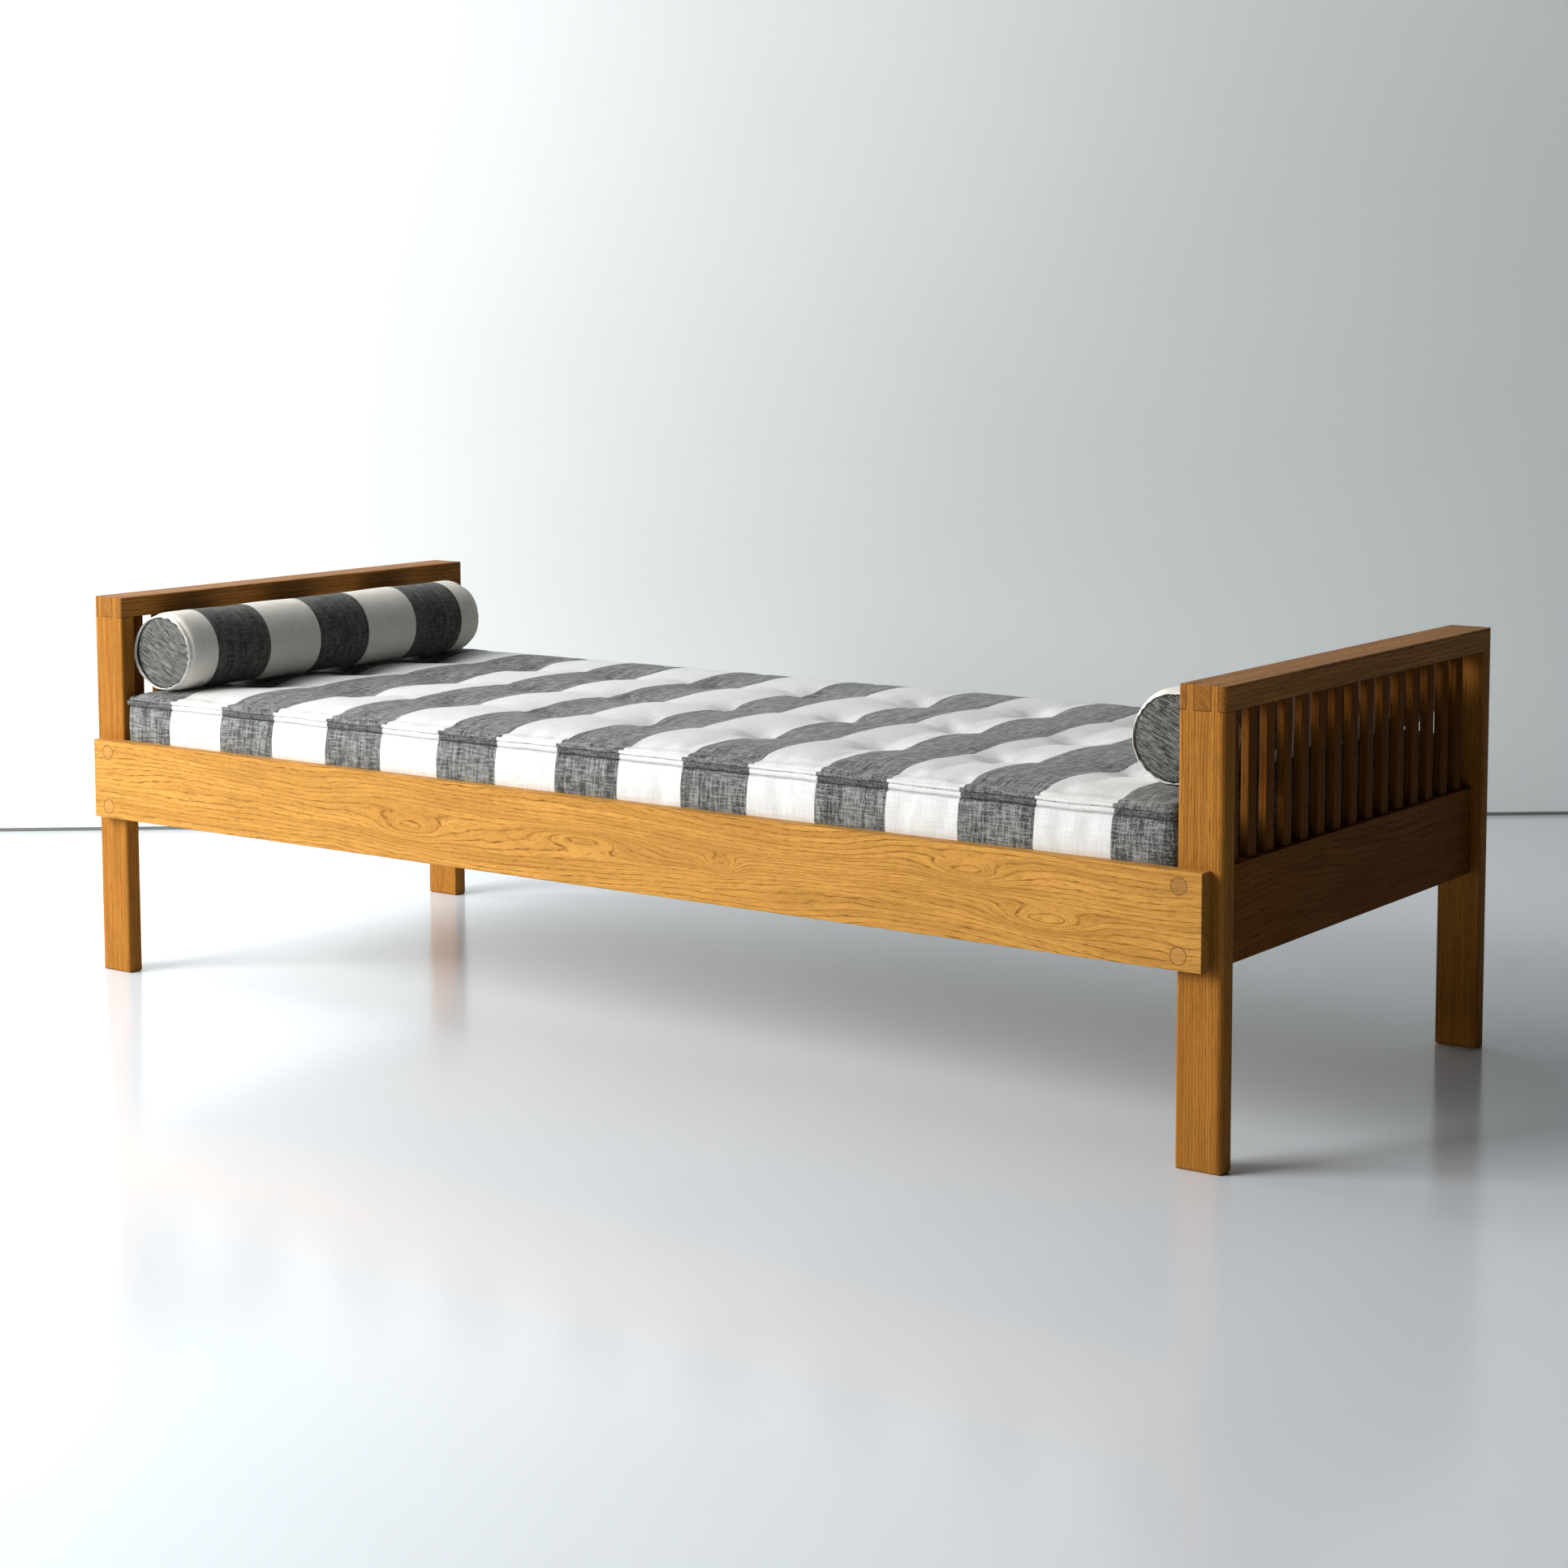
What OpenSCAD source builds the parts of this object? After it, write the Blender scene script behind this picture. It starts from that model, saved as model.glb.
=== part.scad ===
// Daybed: two slatted oak end frames joined by bolted side rails, with a
// tufted mattress on slats and a loose bolster at each end.
// Millimetres. +X runs to the foot end, -Y is the front, +Z is up.
// The origin is on the floor under the middle of the bed.

/* [Overall] */
// Length over the two end frames
bed_length = 2000; // [1950:10:2050]
// Width over the posts, without the side rails
frame_width = 800; // [780:10:820]
// Height to the top of the end frames
frame_height = 600; // [580:5:640]

/* [End frames] */
// Width of a post and of the top rail, along the bed
post_width = 64; // [60:1:70]
// Thickness of a post, across the bed
post_thick = 27; // [25:1:32]
// Depth of the top rail
top_rail_depth = 31.5; // [28:0.5:36]
// Radius on the outer long edge of a post
outer_radius = 9; // [5:0.5:10]
// Radius on a post's other outside edge
inner_radius = 4; // [2:0.5:5]
// Radius on the small edges of the frame
edge_radius = 3; // [1:0.5:4]
// Chamfer round the bottom of a leg
foot_chamfer = 3; // [1:0.5:4]
// Width of a post's fingers in the corner joint
post_finger = 10; // [8:0.5:12]
// Width of the middle finger of the top rail
rail_finger = 23; // [18:0.5:26]

/* [Rails and end boards] */
// Height from the floor to the underside of the rails
rail_bottom = 252; // [230:1:260]
// Height of a side rail and of an end board
rail_height = 123; // [118:1:128]
// Thickness of a side rail and of an end board
rail_thick = 22; // [20:0.5:24]
// Distance of a side rail's end from the post's outer face
rail_inset = 18; // [14:1:24]
// Distance of an end board from the post's outer face
board_inset = 15; // [12:1:17]
// Radius on the edges of the rails and boards
rail_radius = 1.2; // [0.5:0.1:3]
// Length of an end board's tenon in the post
tenon_length = 15; // [12:1:18]
// Thickness of an end board's tenon
tenon_thick = 10; // [8:1:12]

/* [End slats] */
// Number of slats in an end frame
end_slat_count = 15; // [15:1:15]
// Width of an end slat
end_slat_width = 22; // [20:0.5:24]
// Thickness of an end slat
end_slat_thick = 12; // [10:0.5:13]
// Length of an end slat's stub tenon
stub_length = 10; // [8:1:12]

/* [Bed base] */
// Width of a ledger, across the bed
ledger_width = 24; // [20:1:28]
// Height of a ledger
ledger_height = 24; // [22:1:28]
// Height from the floor to the top of the ledgers
ledger_top = 306; // [300:1:308]
// Number of bed slats
bed_slat_count = 14; // [12:2:16]
// Width of a bed slat
bed_slat_width = 70; // [60:1:80]
// Thickness of a bed slat
bed_slat_thick = 18; // [15:1:20]

/* [Hardware] */
// Diameter of the wooden plugs over the bolts
plug_diameter = 22; // [20:1:24]
// Thickness of a plug
plug_thick = 6; // [4:0.5:7]
// Distance of the bolts from the post's outer face
bolt_inset = 49.5; // [47:0.5:51]
// Distance of the bolts from the rail's edges
bolt_edge = 18.5; // [16:0.5:22]
// Diameter of a rail bolt
bolt_diameter = 8; // [6:1:8]

/* [Mattress] */
// Length of the mattress
mattress_length = 1864; // [1810:2:1864]
// Width of the mattress
mattress_width = 794; // [770:1:794]
// Height of the seam round the top above the bed slats
seam_height = 106.7; // [95:0.1:110]
// Height of the flat of the crown above the seam
crown_height = 21; // [12:1:24]
// Distance between tufts, both ways
tuft_pitch = 197; // [190:1:204]

/* [Bolsters] */
// Diameter of a bolster
bolster_diameter = 126; // [110:1:126]
// Length of a bolster
bolster_length = 680; // [640:1:690]
// How far the head bolster lies towards the front
head_bolster_shift = -33; // [-40:1:40]
// How far the foot bolster lies towards the back
foot_bolster_shift = 45; // [-50:1:50]

/* [Hidden] */
$fn = 48;
ENDS = ["head", "foot"];
SIDES = ["front", "back"];

// Colours
oak = "#C08A4A";
pale_oak = "#C99B62";
steel = "#A9ABAE";
charcoal = "#55585B";
off_white = "#E4E2DC";
foam = "#E8DDB0";

// End frames
frame_x = bed_length / 2 - post_width;
frame_y = frame_width / 2;
outer_finger = (post_width - rail_finger - 2 * post_finger) / 2;
top_rail_bottom = frame_height - top_rail_depth;
joint_top_radius = 2;
post_gap = frame_width - 2 * post_thick;

// Rails and boards
rail_top = rail_bottom + rail_height;
rail_length = bed_length - 2 * rail_inset;
board_x = bed_length / 2 - board_inset - rail_thick;
tenon_height = rail_height - 30;

// End slats sit on the middle of the end board
slat_x = board_x + rail_thick / 2;
slat_gap = (post_gap - end_slat_count * end_slat_width) / (end_slat_count + 1);
slat_pitch = end_slat_width + slat_gap;
stub_width = end_slat_width - 6;
stub_thick = end_slat_thick - 4;
slat_radius = 2;

// Bed base
base_clearance = 2;
ledger_y = frame_y - ledger_width;
bed_slat_pitch = 2 * frame_x / bed_slat_count;
bed_slat_length = frame_width - base_clearance;
bed_slat_top = ledger_top + bed_slat_thick;

// Hardware
bolt_x = bed_length / 2 - bolt_inset;
bolt_heights = [rail_bottom + bolt_edge, rail_top - bolt_edge];
bolt_head_diameter = 13;
bolt_head_height = 8;
bolt_hole_diameter = bolt_diameter + 1;
bolt_shank = 25;
hex_key_size = 6;
washer_diameter = 20;
washer_bore = 8.4;
washer_thick = 1.6;
counterbore_depth = plug_thick + bolt_head_height + washer_thick;
insert_diameter = 12;
insert_length = 20;
screw_diameter = 4;
screw_head_diameter = 8;
screw_head_height = 3;
screw_shank = 32;
screw_slot = 1.2;
ledger_screw_xs = [for (i = [-3:3]) 2 * i * bed_slat_pitch];
ledger_screw_z = ledger_top - ledger_height / 2;
bed_slat_xs = [for (i = [0:bed_slat_count - 1]) (i - (bed_slat_count - 1) / 2) * bed_slat_pitch];
bed_screw_y = frame_y - ledger_width / 2;

// Mattress, from the outside in
soft_clearance = 0.3;
mattress_bottom = bed_slat_top + soft_clearance;
seam_z = bed_slat_top + seam_height;
crown_z = seam_z + crown_height;
crown_levels = [[0, 0], [6, 0.45], [18, 0.8], [42, 1]];
cover_thick = 2;
wadding_side = 14;
wadding_bottom = 6;
core_top = seam_z + 4;
core_bottom = mattress_bottom + cover_thick + wadding_bottom;
mattress_corner = 14;
tuft_columns = 9;
tuft_rows = 3;
tuft_shift = -25;
tuft_diameter = 3;
tuft_tab_diameter = 12;
tuft_tab_thick = 1.5;
tuft_points = [
    for (i = [0:tuft_columns - 1], j = [0:tuft_rows - 1])
        [tuft_shift + (i - (tuft_columns - 1) / 2) * tuft_pitch, (j - (tuft_rows - 1) / 2) * tuft_pitch]
];

// Bolsters
bolster_radius = bolster_diameter / 2;
bolster_wall = 7;
bolster_end_radius = 10;
bolster_x = frame_x - bolster_radius - 0.5;
bolster_z = crown_z + soft_clearance + bolster_radius;

function two_digits(i) = i < 10 ? str("0", i) : str(i);
slat_numbers = [for (i = [1:end_slat_count]) two_digits(i)];

// ---- Placing ----

// Parts are drawn at the foot end and at the front, then mirrored
module at_end(end) {
    mirror([end == "head" ? 1 : 0, 0, 0]) children();
}

module at_side(side) {
    mirror([0, side == "back" ? 1 : 0, 0]) children();
}

module at_each_corner() {
    for (end = ENDS, side = SIDES) at_end(end) at_side(side) children();
}

// A cylinder that runs along +Y from its start
module rod_y(diameter, length) {
    rotate([-90, 0, 0]) cylinder(d = diameter, h = length);
}

// ---- Outlines ----

// A rectangle with a radius at each corner, anticlockwise from the origin
module rounded(size, radii) {
    corners = [[0, 0, 0], [size[0], 0, 90], [size[0], size[1], 180], [0, size[1], 270]];
    difference() {
        square(size);
        for (i = [0:3]) {
            if (radii[i] > 0) {
                translate([corners[i][0], corners[i][1]]) rotate(corners[i][2]) corner_waste(radii[i]);
            }
        }
    }
}

module corner_waste(radius) {
    difference() {
        translate([-1, -1]) square(radius + 1);
        translate([radius, radius]) circle(r = radius);
    }
}

// An upright rectangle with its two bottom corners cut off and its top corners rounded
module leg_side(width, height, chamfer, top_radii) {
    difference() {
        rounded([width, height], [0, 0, top_radii[0], top_radii[1]]);
        polygon([[0, 0], [chamfer, 0], [0, chamfer]]);
        polygon([[width, 0], [width, chamfer], [width - chamfer, 0]]);
    }
}

// A long bar along X with its edges rounded, from the origin towards +X +Y +Z
module bar(length, width, height, radius) {
    intersection() {
        rotate([90, 0, 90]) linear_extrude(length) rounded([width, height], [radius, radius, radius, radius]);
        linear_extrude(height) rounded([length, width], [radius, radius, radius, radius]);
    }
}

// ---- End frames ----

// The space that the post's fingers take at one end of the top rail
module post_finger_space() {
    for (x = [outer_finger, outer_finger + post_finger + rail_finger]) {
        translate([frame_x + x, -frame_y - 1, top_rail_bottom - 1]) {
            cube([post_finger, post_thick + 1, top_rail_depth + 2]);
        }
    }
}

// The space that the top rail's fingers take at the top of a post
module rail_finger_space() {
    starts = [-1, outer_finger + post_finger, post_width - outer_finger];
    widths = [outer_finger + 1, rail_finger, outer_finger + 1];
    for (i = [0:2]) {
        translate([frame_x + starts[i], -frame_y - 1, top_rail_bottom]) {
            cube([widths[i], post_thick + 2, top_rail_depth + 1]);
        }
    }
}

// Stub mortises for the end slats, open at the height z and stub_length deep
module slat_mortises(z) {
    for (i = [1:end_slat_count]) {
        translate([slat_x - stub_thick / 2, slat_y(i) - stub_width / 2, z]) {
            cube([stub_thick, stub_width, stub_length]);
        }
    }
}

function slat_y(i) = (i - (end_slat_count + 1) / 2) * slat_pitch;

module top_rail(end) {
    color(oak) at_end(end) difference() {
        intersection() {
            translate([frame_x, -frame_y, top_rail_bottom]) linear_extrude(top_rail_depth) {
                rounded([post_width, frame_width], [inner_radius, outer_radius, outer_radius, inner_radius]);
            }
            translate([frame_x, frame_y, top_rail_bottom]) rotate([90, 0, 0]) linear_extrude(frame_width) {
                rounded([post_width, top_rail_depth], [0, 0, edge_radius, edge_radius]);
            }
            translate([frame_x, -frame_y, top_rail_bottom]) rotate([90, 0, 90]) linear_extrude(post_width) {
                rounded([frame_width, top_rail_depth], [0, 0, joint_top_radius, joint_top_radius]);
            }
        }
        for (side = SIDES) at_side(side) post_finger_space();
        slat_mortises(top_rail_bottom);
    }
}

module post(end, side) {
    color(oak) at_end(end) at_side(side) difference() {
        intersection() {
            translate([frame_x, -frame_y, 0]) linear_extrude(frame_height) {
                rounded([post_width, post_thick], [inner_radius, outer_radius, edge_radius, edge_radius]);
            }
            translate([frame_x, -frame_y + post_thick, 0]) rotate([90, 0, 0]) linear_extrude(post_thick) {
                leg_side(post_width, frame_height, foot_chamfer, [0, 0]);
            }
            translate([frame_x, -frame_y, 0]) rotate([90, 0, 90]) linear_extrude(post_width) {
                leg_side(post_thick, frame_height, foot_chamfer, [0, joint_top_radius]);
            }
        }
        rail_finger_space();
        board_tenon(0);
        for (z = bolt_heights) translate([bolt_x, -frame_y, z]) rod_y(insert_diameter, insert_length);
    }
}

// The tenon at the front end of an end board, reaching back into it by overlap
module board_tenon(overlap) {
    translate([slat_x - tenon_thick / 2, -post_gap / 2 - tenon_length, rail_bottom + 15]) {
        cube([tenon_thick, tenon_length + overlap, tenon_height]);
    }
}

module end_board(end) {
    color(oak) at_end(end) {
        difference() {
            union() {
                translate([board_x, post_gap / 2, rail_bottom]) rotate([90, 0, 0]) linear_extrude(post_gap) {
                    rounded([rail_thick, rail_height], [rail_radius, rail_radius, rail_radius, rail_radius]);
                }
                for (side = SIDES) at_side(side) board_tenon(5);
            }
            slat_mortises(rail_top - stub_length);
        }
    }
}

module end_slat(end, i) {
    color(oak) at_end(end) translate([slat_x, slat_y(i), rail_top]) {
        translate([-end_slat_thick / 2, -end_slat_width / 2, 0]) linear_extrude(top_rail_bottom - rail_top) {
            rounded([end_slat_thick, end_slat_width], [slat_radius, slat_radius, slat_radius, slat_radius]);
        }
        translate([-stub_thick / 2, -stub_width / 2, -stub_length]) {
            cube([stub_thick, stub_width, top_rail_bottom - rail_top + 2 * stub_length]);
        }
    }
}

// ---- Side rails and bed base ----

module side_rail(side) {
    color(oak) at_side(side) difference() {
        translate([-rail_length / 2, -frame_y - rail_thick, rail_bottom]) {
            bar(rail_length, rail_thick, rail_height, rail_radius);
        }
        for (end = ENDS, z = bolt_heights) at_end(end) {
            translate([bolt_x, -frame_y - rail_thick - 1, z]) rod_y(plug_diameter, counterbore_depth + 1);
            translate([bolt_x, -frame_y - rail_thick, z]) rod_y(bolt_hole_diameter, rail_thick + 1);
        }
        ledger_screw_shanks();
    }
}

module ledger_screw_shanks() {
    for (x = ledger_screw_xs) {
        translate([x, -ledger_y - screw_head_height - screw_shank, ledger_screw_z]) {
            rod_y(screw_diameter, screw_shank);
        }
    }
}

module ledger_screw_heads() {
    for (x = ledger_screw_xs) {
        translate([x, -ledger_y - screw_head_height, ledger_screw_z]) {
            rod_y(screw_head_diameter, screw_head_height);
        }
    }
}

module bed_screw_shanks() {
    for (x = bed_slat_xs) {
        translate([x, -bed_screw_y, bed_slat_top - screw_head_height - screw_shank]) {
            cylinder(d = screw_diameter, h = screw_shank);
        }
    }
}

module bed_screw_heads() {
    for (x = bed_slat_xs) {
        translate([x, -bed_screw_y, bed_slat_top - screw_head_height]) {
            cylinder(d = screw_head_diameter, h = screw_head_height);
        }
    }
}

module ledger(side) {
    color(pale_oak) at_side(side) difference() {
        translate([-frame_x + base_clearance, -frame_y, ledger_top - ledger_height]) {
            cube([2 * (frame_x - base_clearance), ledger_width, ledger_height]);
        }
        ledger_screw_shanks();
        ledger_screw_heads();
        bed_screw_shanks();
    }
}

module bed_slats() {
    color(pale_oak) difference() {
        for (x = bed_slat_xs) {
            translate([x - bed_slat_width / 2, -bed_slat_length / 2, ledger_top]) {
                cube([bed_slat_width, bed_slat_length, bed_slat_thick]);
            }
        }
        for (side = SIDES) at_side(side) {
            bed_screw_shanks();
            bed_screw_heads();
        }
    }
}

// ---- Hardware ----

module bolt_plugs() {
    color(pale_oak) at_each_corner() for (z = bolt_heights) {
        translate([bolt_x, -frame_y - rail_thick, z]) rod_y(plug_diameter, plug_thick);
    }
}

// A socket head bolt with its head against the plug and its shank towards +Y
module socket_bolt() {
    difference() {
        union() {
            rod_y(bolt_head_diameter, bolt_head_height);
            rod_y(bolt_diameter, bolt_head_height + bolt_shank);
        }
        rotate([-90, 0, 0]) cylinder(d = hex_key_size / cos(30), h = bolt_head_height / 2, $fn = 6);
    }
}

module rail_bolts() {
    color(steel) at_each_corner() for (z = bolt_heights) {
        translate([bolt_x, -frame_y - rail_thick + plug_thick, z]) socket_bolt();
    }
}

module bolt_washers() {
    color(steel) at_each_corner() for (z = bolt_heights) {
        translate([bolt_x, -frame_y - rail_thick + plug_thick + bolt_head_height, z]) difference() {
            rod_y(washer_diameter, washer_thick);
            translate([0, -1, 0]) rod_y(washer_bore, washer_thick + 2);
        }
    }
}

module bolt_inserts() {
    color(steel) at_each_corner() for (z = bolt_heights) {
        translate([bolt_x, -frame_y, z]) difference() {
            rod_y(insert_diameter, insert_length);
            translate([0, -1, 0]) rod_y(bolt_diameter, insert_length + 2);
        }
    }
}

module ledger_screws() {
    color(steel) for (side = SIDES) at_side(side) difference() {
        union() {
            ledger_screw_shanks();
            ledger_screw_heads();
        }
        for (x = ledger_screw_xs) {
            translate([x - screw_head_diameter, -ledger_y - screw_slot, ledger_screw_z - screw_slot / 2]) {
                cube([2 * screw_head_diameter, screw_slot + 1, screw_slot]);
            }
        }
    }
}

module bed_slat_screws() {
    color(steel) for (side = SIDES) at_side(side) difference() {
        union() {
            bed_screw_shanks();
            bed_screw_heads();
        }
        for (x = bed_slat_xs) {
            translate([x - screw_head_diameter, -bed_screw_y - screw_slot / 2, bed_slat_top - screw_slot]) {
                cube([2 * screw_head_diameter, screw_slot, screw_slot + 1]);
            }
        }
    }
}

// ---- Mattress ----

// One side view of the mattress: upright to the seam, then rounded over to the crown
module mattress_side(length, inset) {
    half = length / 2 - inset;
    low = mattress_bottom + inset;
    over = [for (level = crown_levels) [half - level[0], seam_z - inset + level[1] * crown_height]];
    back = [for (i = [len(over) - 1:-1:0]) [-over[i][0], over[i][1]]];
    polygon(concat([[-half, low], [half, low]], over, back));
}

// The crowned form of the mattress, drawn in by inset all over
module mattress_form(inset) {
    radius = mattress_corner;
    size = [mattress_length - 2 * inset, mattress_width - 2 * inset];
    intersection() {
        translate([-size[0] / 2, -size[1] / 2, 0]) linear_extrude(crown_z) {
            rounded(size, [radius, radius, radius, radius]);
        }
        translate([0, frame_y, 0]) rotate([90, 0, 0]) linear_extrude(frame_width) {
            mattress_side(mattress_length, inset);
        }
        translate([-bed_length / 2, 0, 0]) rotate([90, 0, 90]) linear_extrude(bed_length) {
            mattress_side(mattress_width, inset);
        }
    }
}

module mattress_core_form() {
    size = [mattress_length - 2 * wadding_side, mattress_width - 2 * wadding_side];
    translate([-size[0] / 2, -size[1] / 2, core_bottom]) cube([size[0], size[1], core_top - core_bottom]);
}

module tie_shanks() {
    bottom = mattress_bottom + cover_thick;
    top = crown_z - cover_thick;
    for (p = tuft_points) translate([p[0], p[1], bottom]) cylinder(d = tuft_diameter, h = top - bottom);
}

module tie_tabs() {
    low = mattress_bottom + cover_thick;
    high = crown_z - cover_thick - tuft_tab_thick;
    for (p = tuft_points, z = [low, high]) {
        translate([p[0], p[1], z]) cylinder(d = tuft_tab_diameter, h = tuft_tab_thick);
    }
}

module mattress_cover() {
    color(charcoal) difference() {
        mattress_form(0);
        mattress_form(cover_thick);
    }
}

module mattress_wadding() {
    color(off_white) difference() {
        mattress_form(cover_thick);
        mattress_core_form();
        tie_shanks();
        tie_tabs();
    }
}

module mattress_core() {
    color(foam) difference() {
        mattress_core_form();
        tie_shanks();
    }
}

module mattress_ties() {
    color(charcoal) union() {
        tie_shanks();
        tie_tabs();
    }
}

// ---- Bolsters ----

// A roll along Y with rounded ends
module roll(radius, length, end_radius) {
    translate([0, length / 2, 0]) rotate([90, 0, 0]) rotate_extrude() {
        rounded([radius, length], [0, end_radius, end_radius, 0]);
    }
}

module bolster_place(end) {
    shift = end == "head" ? head_bolster_shift : foot_bolster_shift;
    at_end(end) translate([bolster_x, shift, bolster_z]) children();
}

module bolster_core_form() {
    roll(bolster_radius - bolster_wall, bolster_length - 2 * bolster_wall, bolster_end_radius);
}

module bolster_cover(end) {
    color(off_white) bolster_place(end) difference() {
        roll(bolster_radius, bolster_length, bolster_end_radius);
        bolster_core_form();
    }
}

module bolster_core(end) {
    color(foam) bolster_place(end) bolster_core_form();
}

// ---- The daybed ----

for (e = ENDS) {
    top_rail(e);
    end_board(e);
    for (s = SIDES) {
        post(e, s);
    }
    for (i = [1:end_slat_count]) {
        end_slat(e, i);
    }
    bolster_cover(e);
    bolster_core(e);
}
for (s = SIDES) {
    side_rail(s);
    ledger(s);
}
bed_slats();
bolt_plugs();
rail_bolts();
bolt_washers();
bolt_inserts();
ledger_screws();
bed_slat_screws();
mattress_cover();
mattress_wadding();
mattress_core();
mattress_ties();
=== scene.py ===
import math

import bpy
import numpy as np
from mathutils import Matrix, Vector


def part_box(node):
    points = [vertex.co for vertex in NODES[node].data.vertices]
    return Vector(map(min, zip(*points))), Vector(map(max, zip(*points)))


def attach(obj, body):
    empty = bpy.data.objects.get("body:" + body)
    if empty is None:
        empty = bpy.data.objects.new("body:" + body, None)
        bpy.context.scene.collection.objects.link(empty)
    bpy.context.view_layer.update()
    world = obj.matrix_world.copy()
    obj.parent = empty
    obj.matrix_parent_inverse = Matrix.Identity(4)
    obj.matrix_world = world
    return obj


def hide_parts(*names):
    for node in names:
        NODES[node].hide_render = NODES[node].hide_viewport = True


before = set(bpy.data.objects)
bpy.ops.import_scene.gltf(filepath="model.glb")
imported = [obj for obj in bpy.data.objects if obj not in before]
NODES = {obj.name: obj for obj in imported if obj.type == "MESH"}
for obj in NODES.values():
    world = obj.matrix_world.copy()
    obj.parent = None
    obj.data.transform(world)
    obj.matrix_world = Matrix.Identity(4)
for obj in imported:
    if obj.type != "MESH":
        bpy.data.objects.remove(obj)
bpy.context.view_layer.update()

MM = 0.001
ENDS = ("head", "foot")
SIDES = ("front", "back")


# ---- Sizes read from the frame ----

def box_mm(node):
    """A node's lowest and highest corner, in millimetres."""
    low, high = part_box(node)
    return np.array(low) / MM, np.array(high) / MM


mattress_low, mattress_high = box_mm("mattress_cover")
_, core_high = box_mm("mattress_core")
ties_low, ties_high = box_mm("mattress_ties")
plugs_low, plugs_high = box_mm("bolt_plugs")
rail_low, rail_high = box_mm("front_side_rail")
top_rail_low, top_rail_high = box_mm("foot_top_rail")
post_low, post_high = box_mm("foot_front_post")
bolster_low, bolster_high = box_mm("foot_bolster_cover")

PLUG_RADIUS = 11.0
TIE_TAB_RADIUS = 6.0
SEAM_Z = core_high[2] - 4.0
HALF_LENGTH = mattress_high[0]
HALF_WIDTH = mattress_high[1]
MATTRESS_CORNER = 10.0
WELT_TALL = 7.5
TUFT_XS = np.linspace(ties_low[0] + TIE_TAB_RADIUS, ties_high[0] - TIE_TAB_RADIUS, 9)
TUFT_YS = np.linspace(ties_low[1] + TIE_TAB_RADIUS, ties_high[1] - TIE_TAB_RADIUS, 3)
TUFTS = np.array([(x, y) for x in TUFT_XS for y in TUFT_YS])
GRID_STEP = 12.3
BOXING_ROWS = 10
# The mattress's top: its crown, and its wells at the tufts
CROWN_HEIGHT, CROWN_REACH = 23.0, 20.0
WELL_DEPTH, WELL_REACH = 13.0, 42.0
# How far the boxing may bulge to the rails, to the end boards, and above the rails
BULGE_SIDE, BULGE_END, BULGE_ABOVE = 2.4, 3.4, 5.0
STITCH_PITCH, STITCH_LENGTH, STITCH_RADIUS = 4.6, 3.2, 0.5

# Woven stripes: one dark and one pale band make a repeat
MATTRESS_BAND = 111.6
MATTRESS_FIRST_PALE = -829.5
BOLSTER_BAND = 114.0
# The roll is cut so that its front end has a wider pale band than its back end
BOLSTER_NEAR_BAND = 60.0
BOLSTER_SAG = 3.4
# The caps are sewn in this far inside the roll, where the cover is nipped by its seam
CAP_INSET = 3.6
CAP_NIP = CAP_INSET - 0.3
# The seam takes its stripes a little further along than the cloth beside it
WELT_STEP = 4.0


# ---- Shader graphs in Python ----

class Wire:
    """A socket in a node tree. Arithmetic on it adds Math nodes."""

    def __init__(self, graph, socket):
        self.graph = graph
        self.socket = socket

    def math(self, operation, *others):
        values = [self, *others]
        return self.graph.add("ShaderNodeMath", {"operation": operation}, dict(enumerate(values)))

    def __add__(self, other):
        return self.math("ADD", other)

    __radd__ = __add__

    def __mul__(self, other):
        return self.math("MULTIPLY", other)

    __rmul__ = __mul__

    def __sub__(self, other):
        return self.math("SUBTRACT", other)

    def __rsub__(self, other):
        return self.graph.add("ShaderNodeMath", {"operation": "SUBTRACT"}, {0: other, 1: self})

    def __truediv__(self, other):
        return self.math("DIVIDE", other)

    def __pow__(self, other):
        return self.math("POWER", other)

    def fract(self):
        return self.math("FRACT")

    def abs(self):
        return self.math("ABSOLUTE")

    def sin(self):
        return self.math("SINE")

    def low(self, other):
        return self.math("MINIMUM", other)

    def high(self, other):
        return self.math("MAXIMUM", other)

    def fade(self, start, end, low=0.0, high=1.0):
        """Goes smoothly from low at start to high at end, and stays there."""
        settings = {"interpolation_type": "SMOOTHSTEP"}
        values = {0: self, 1: start, 2: end, 3: low, 4: high}
        return self.graph.add("ShaderNodeMapRange", settings, values)


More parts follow.
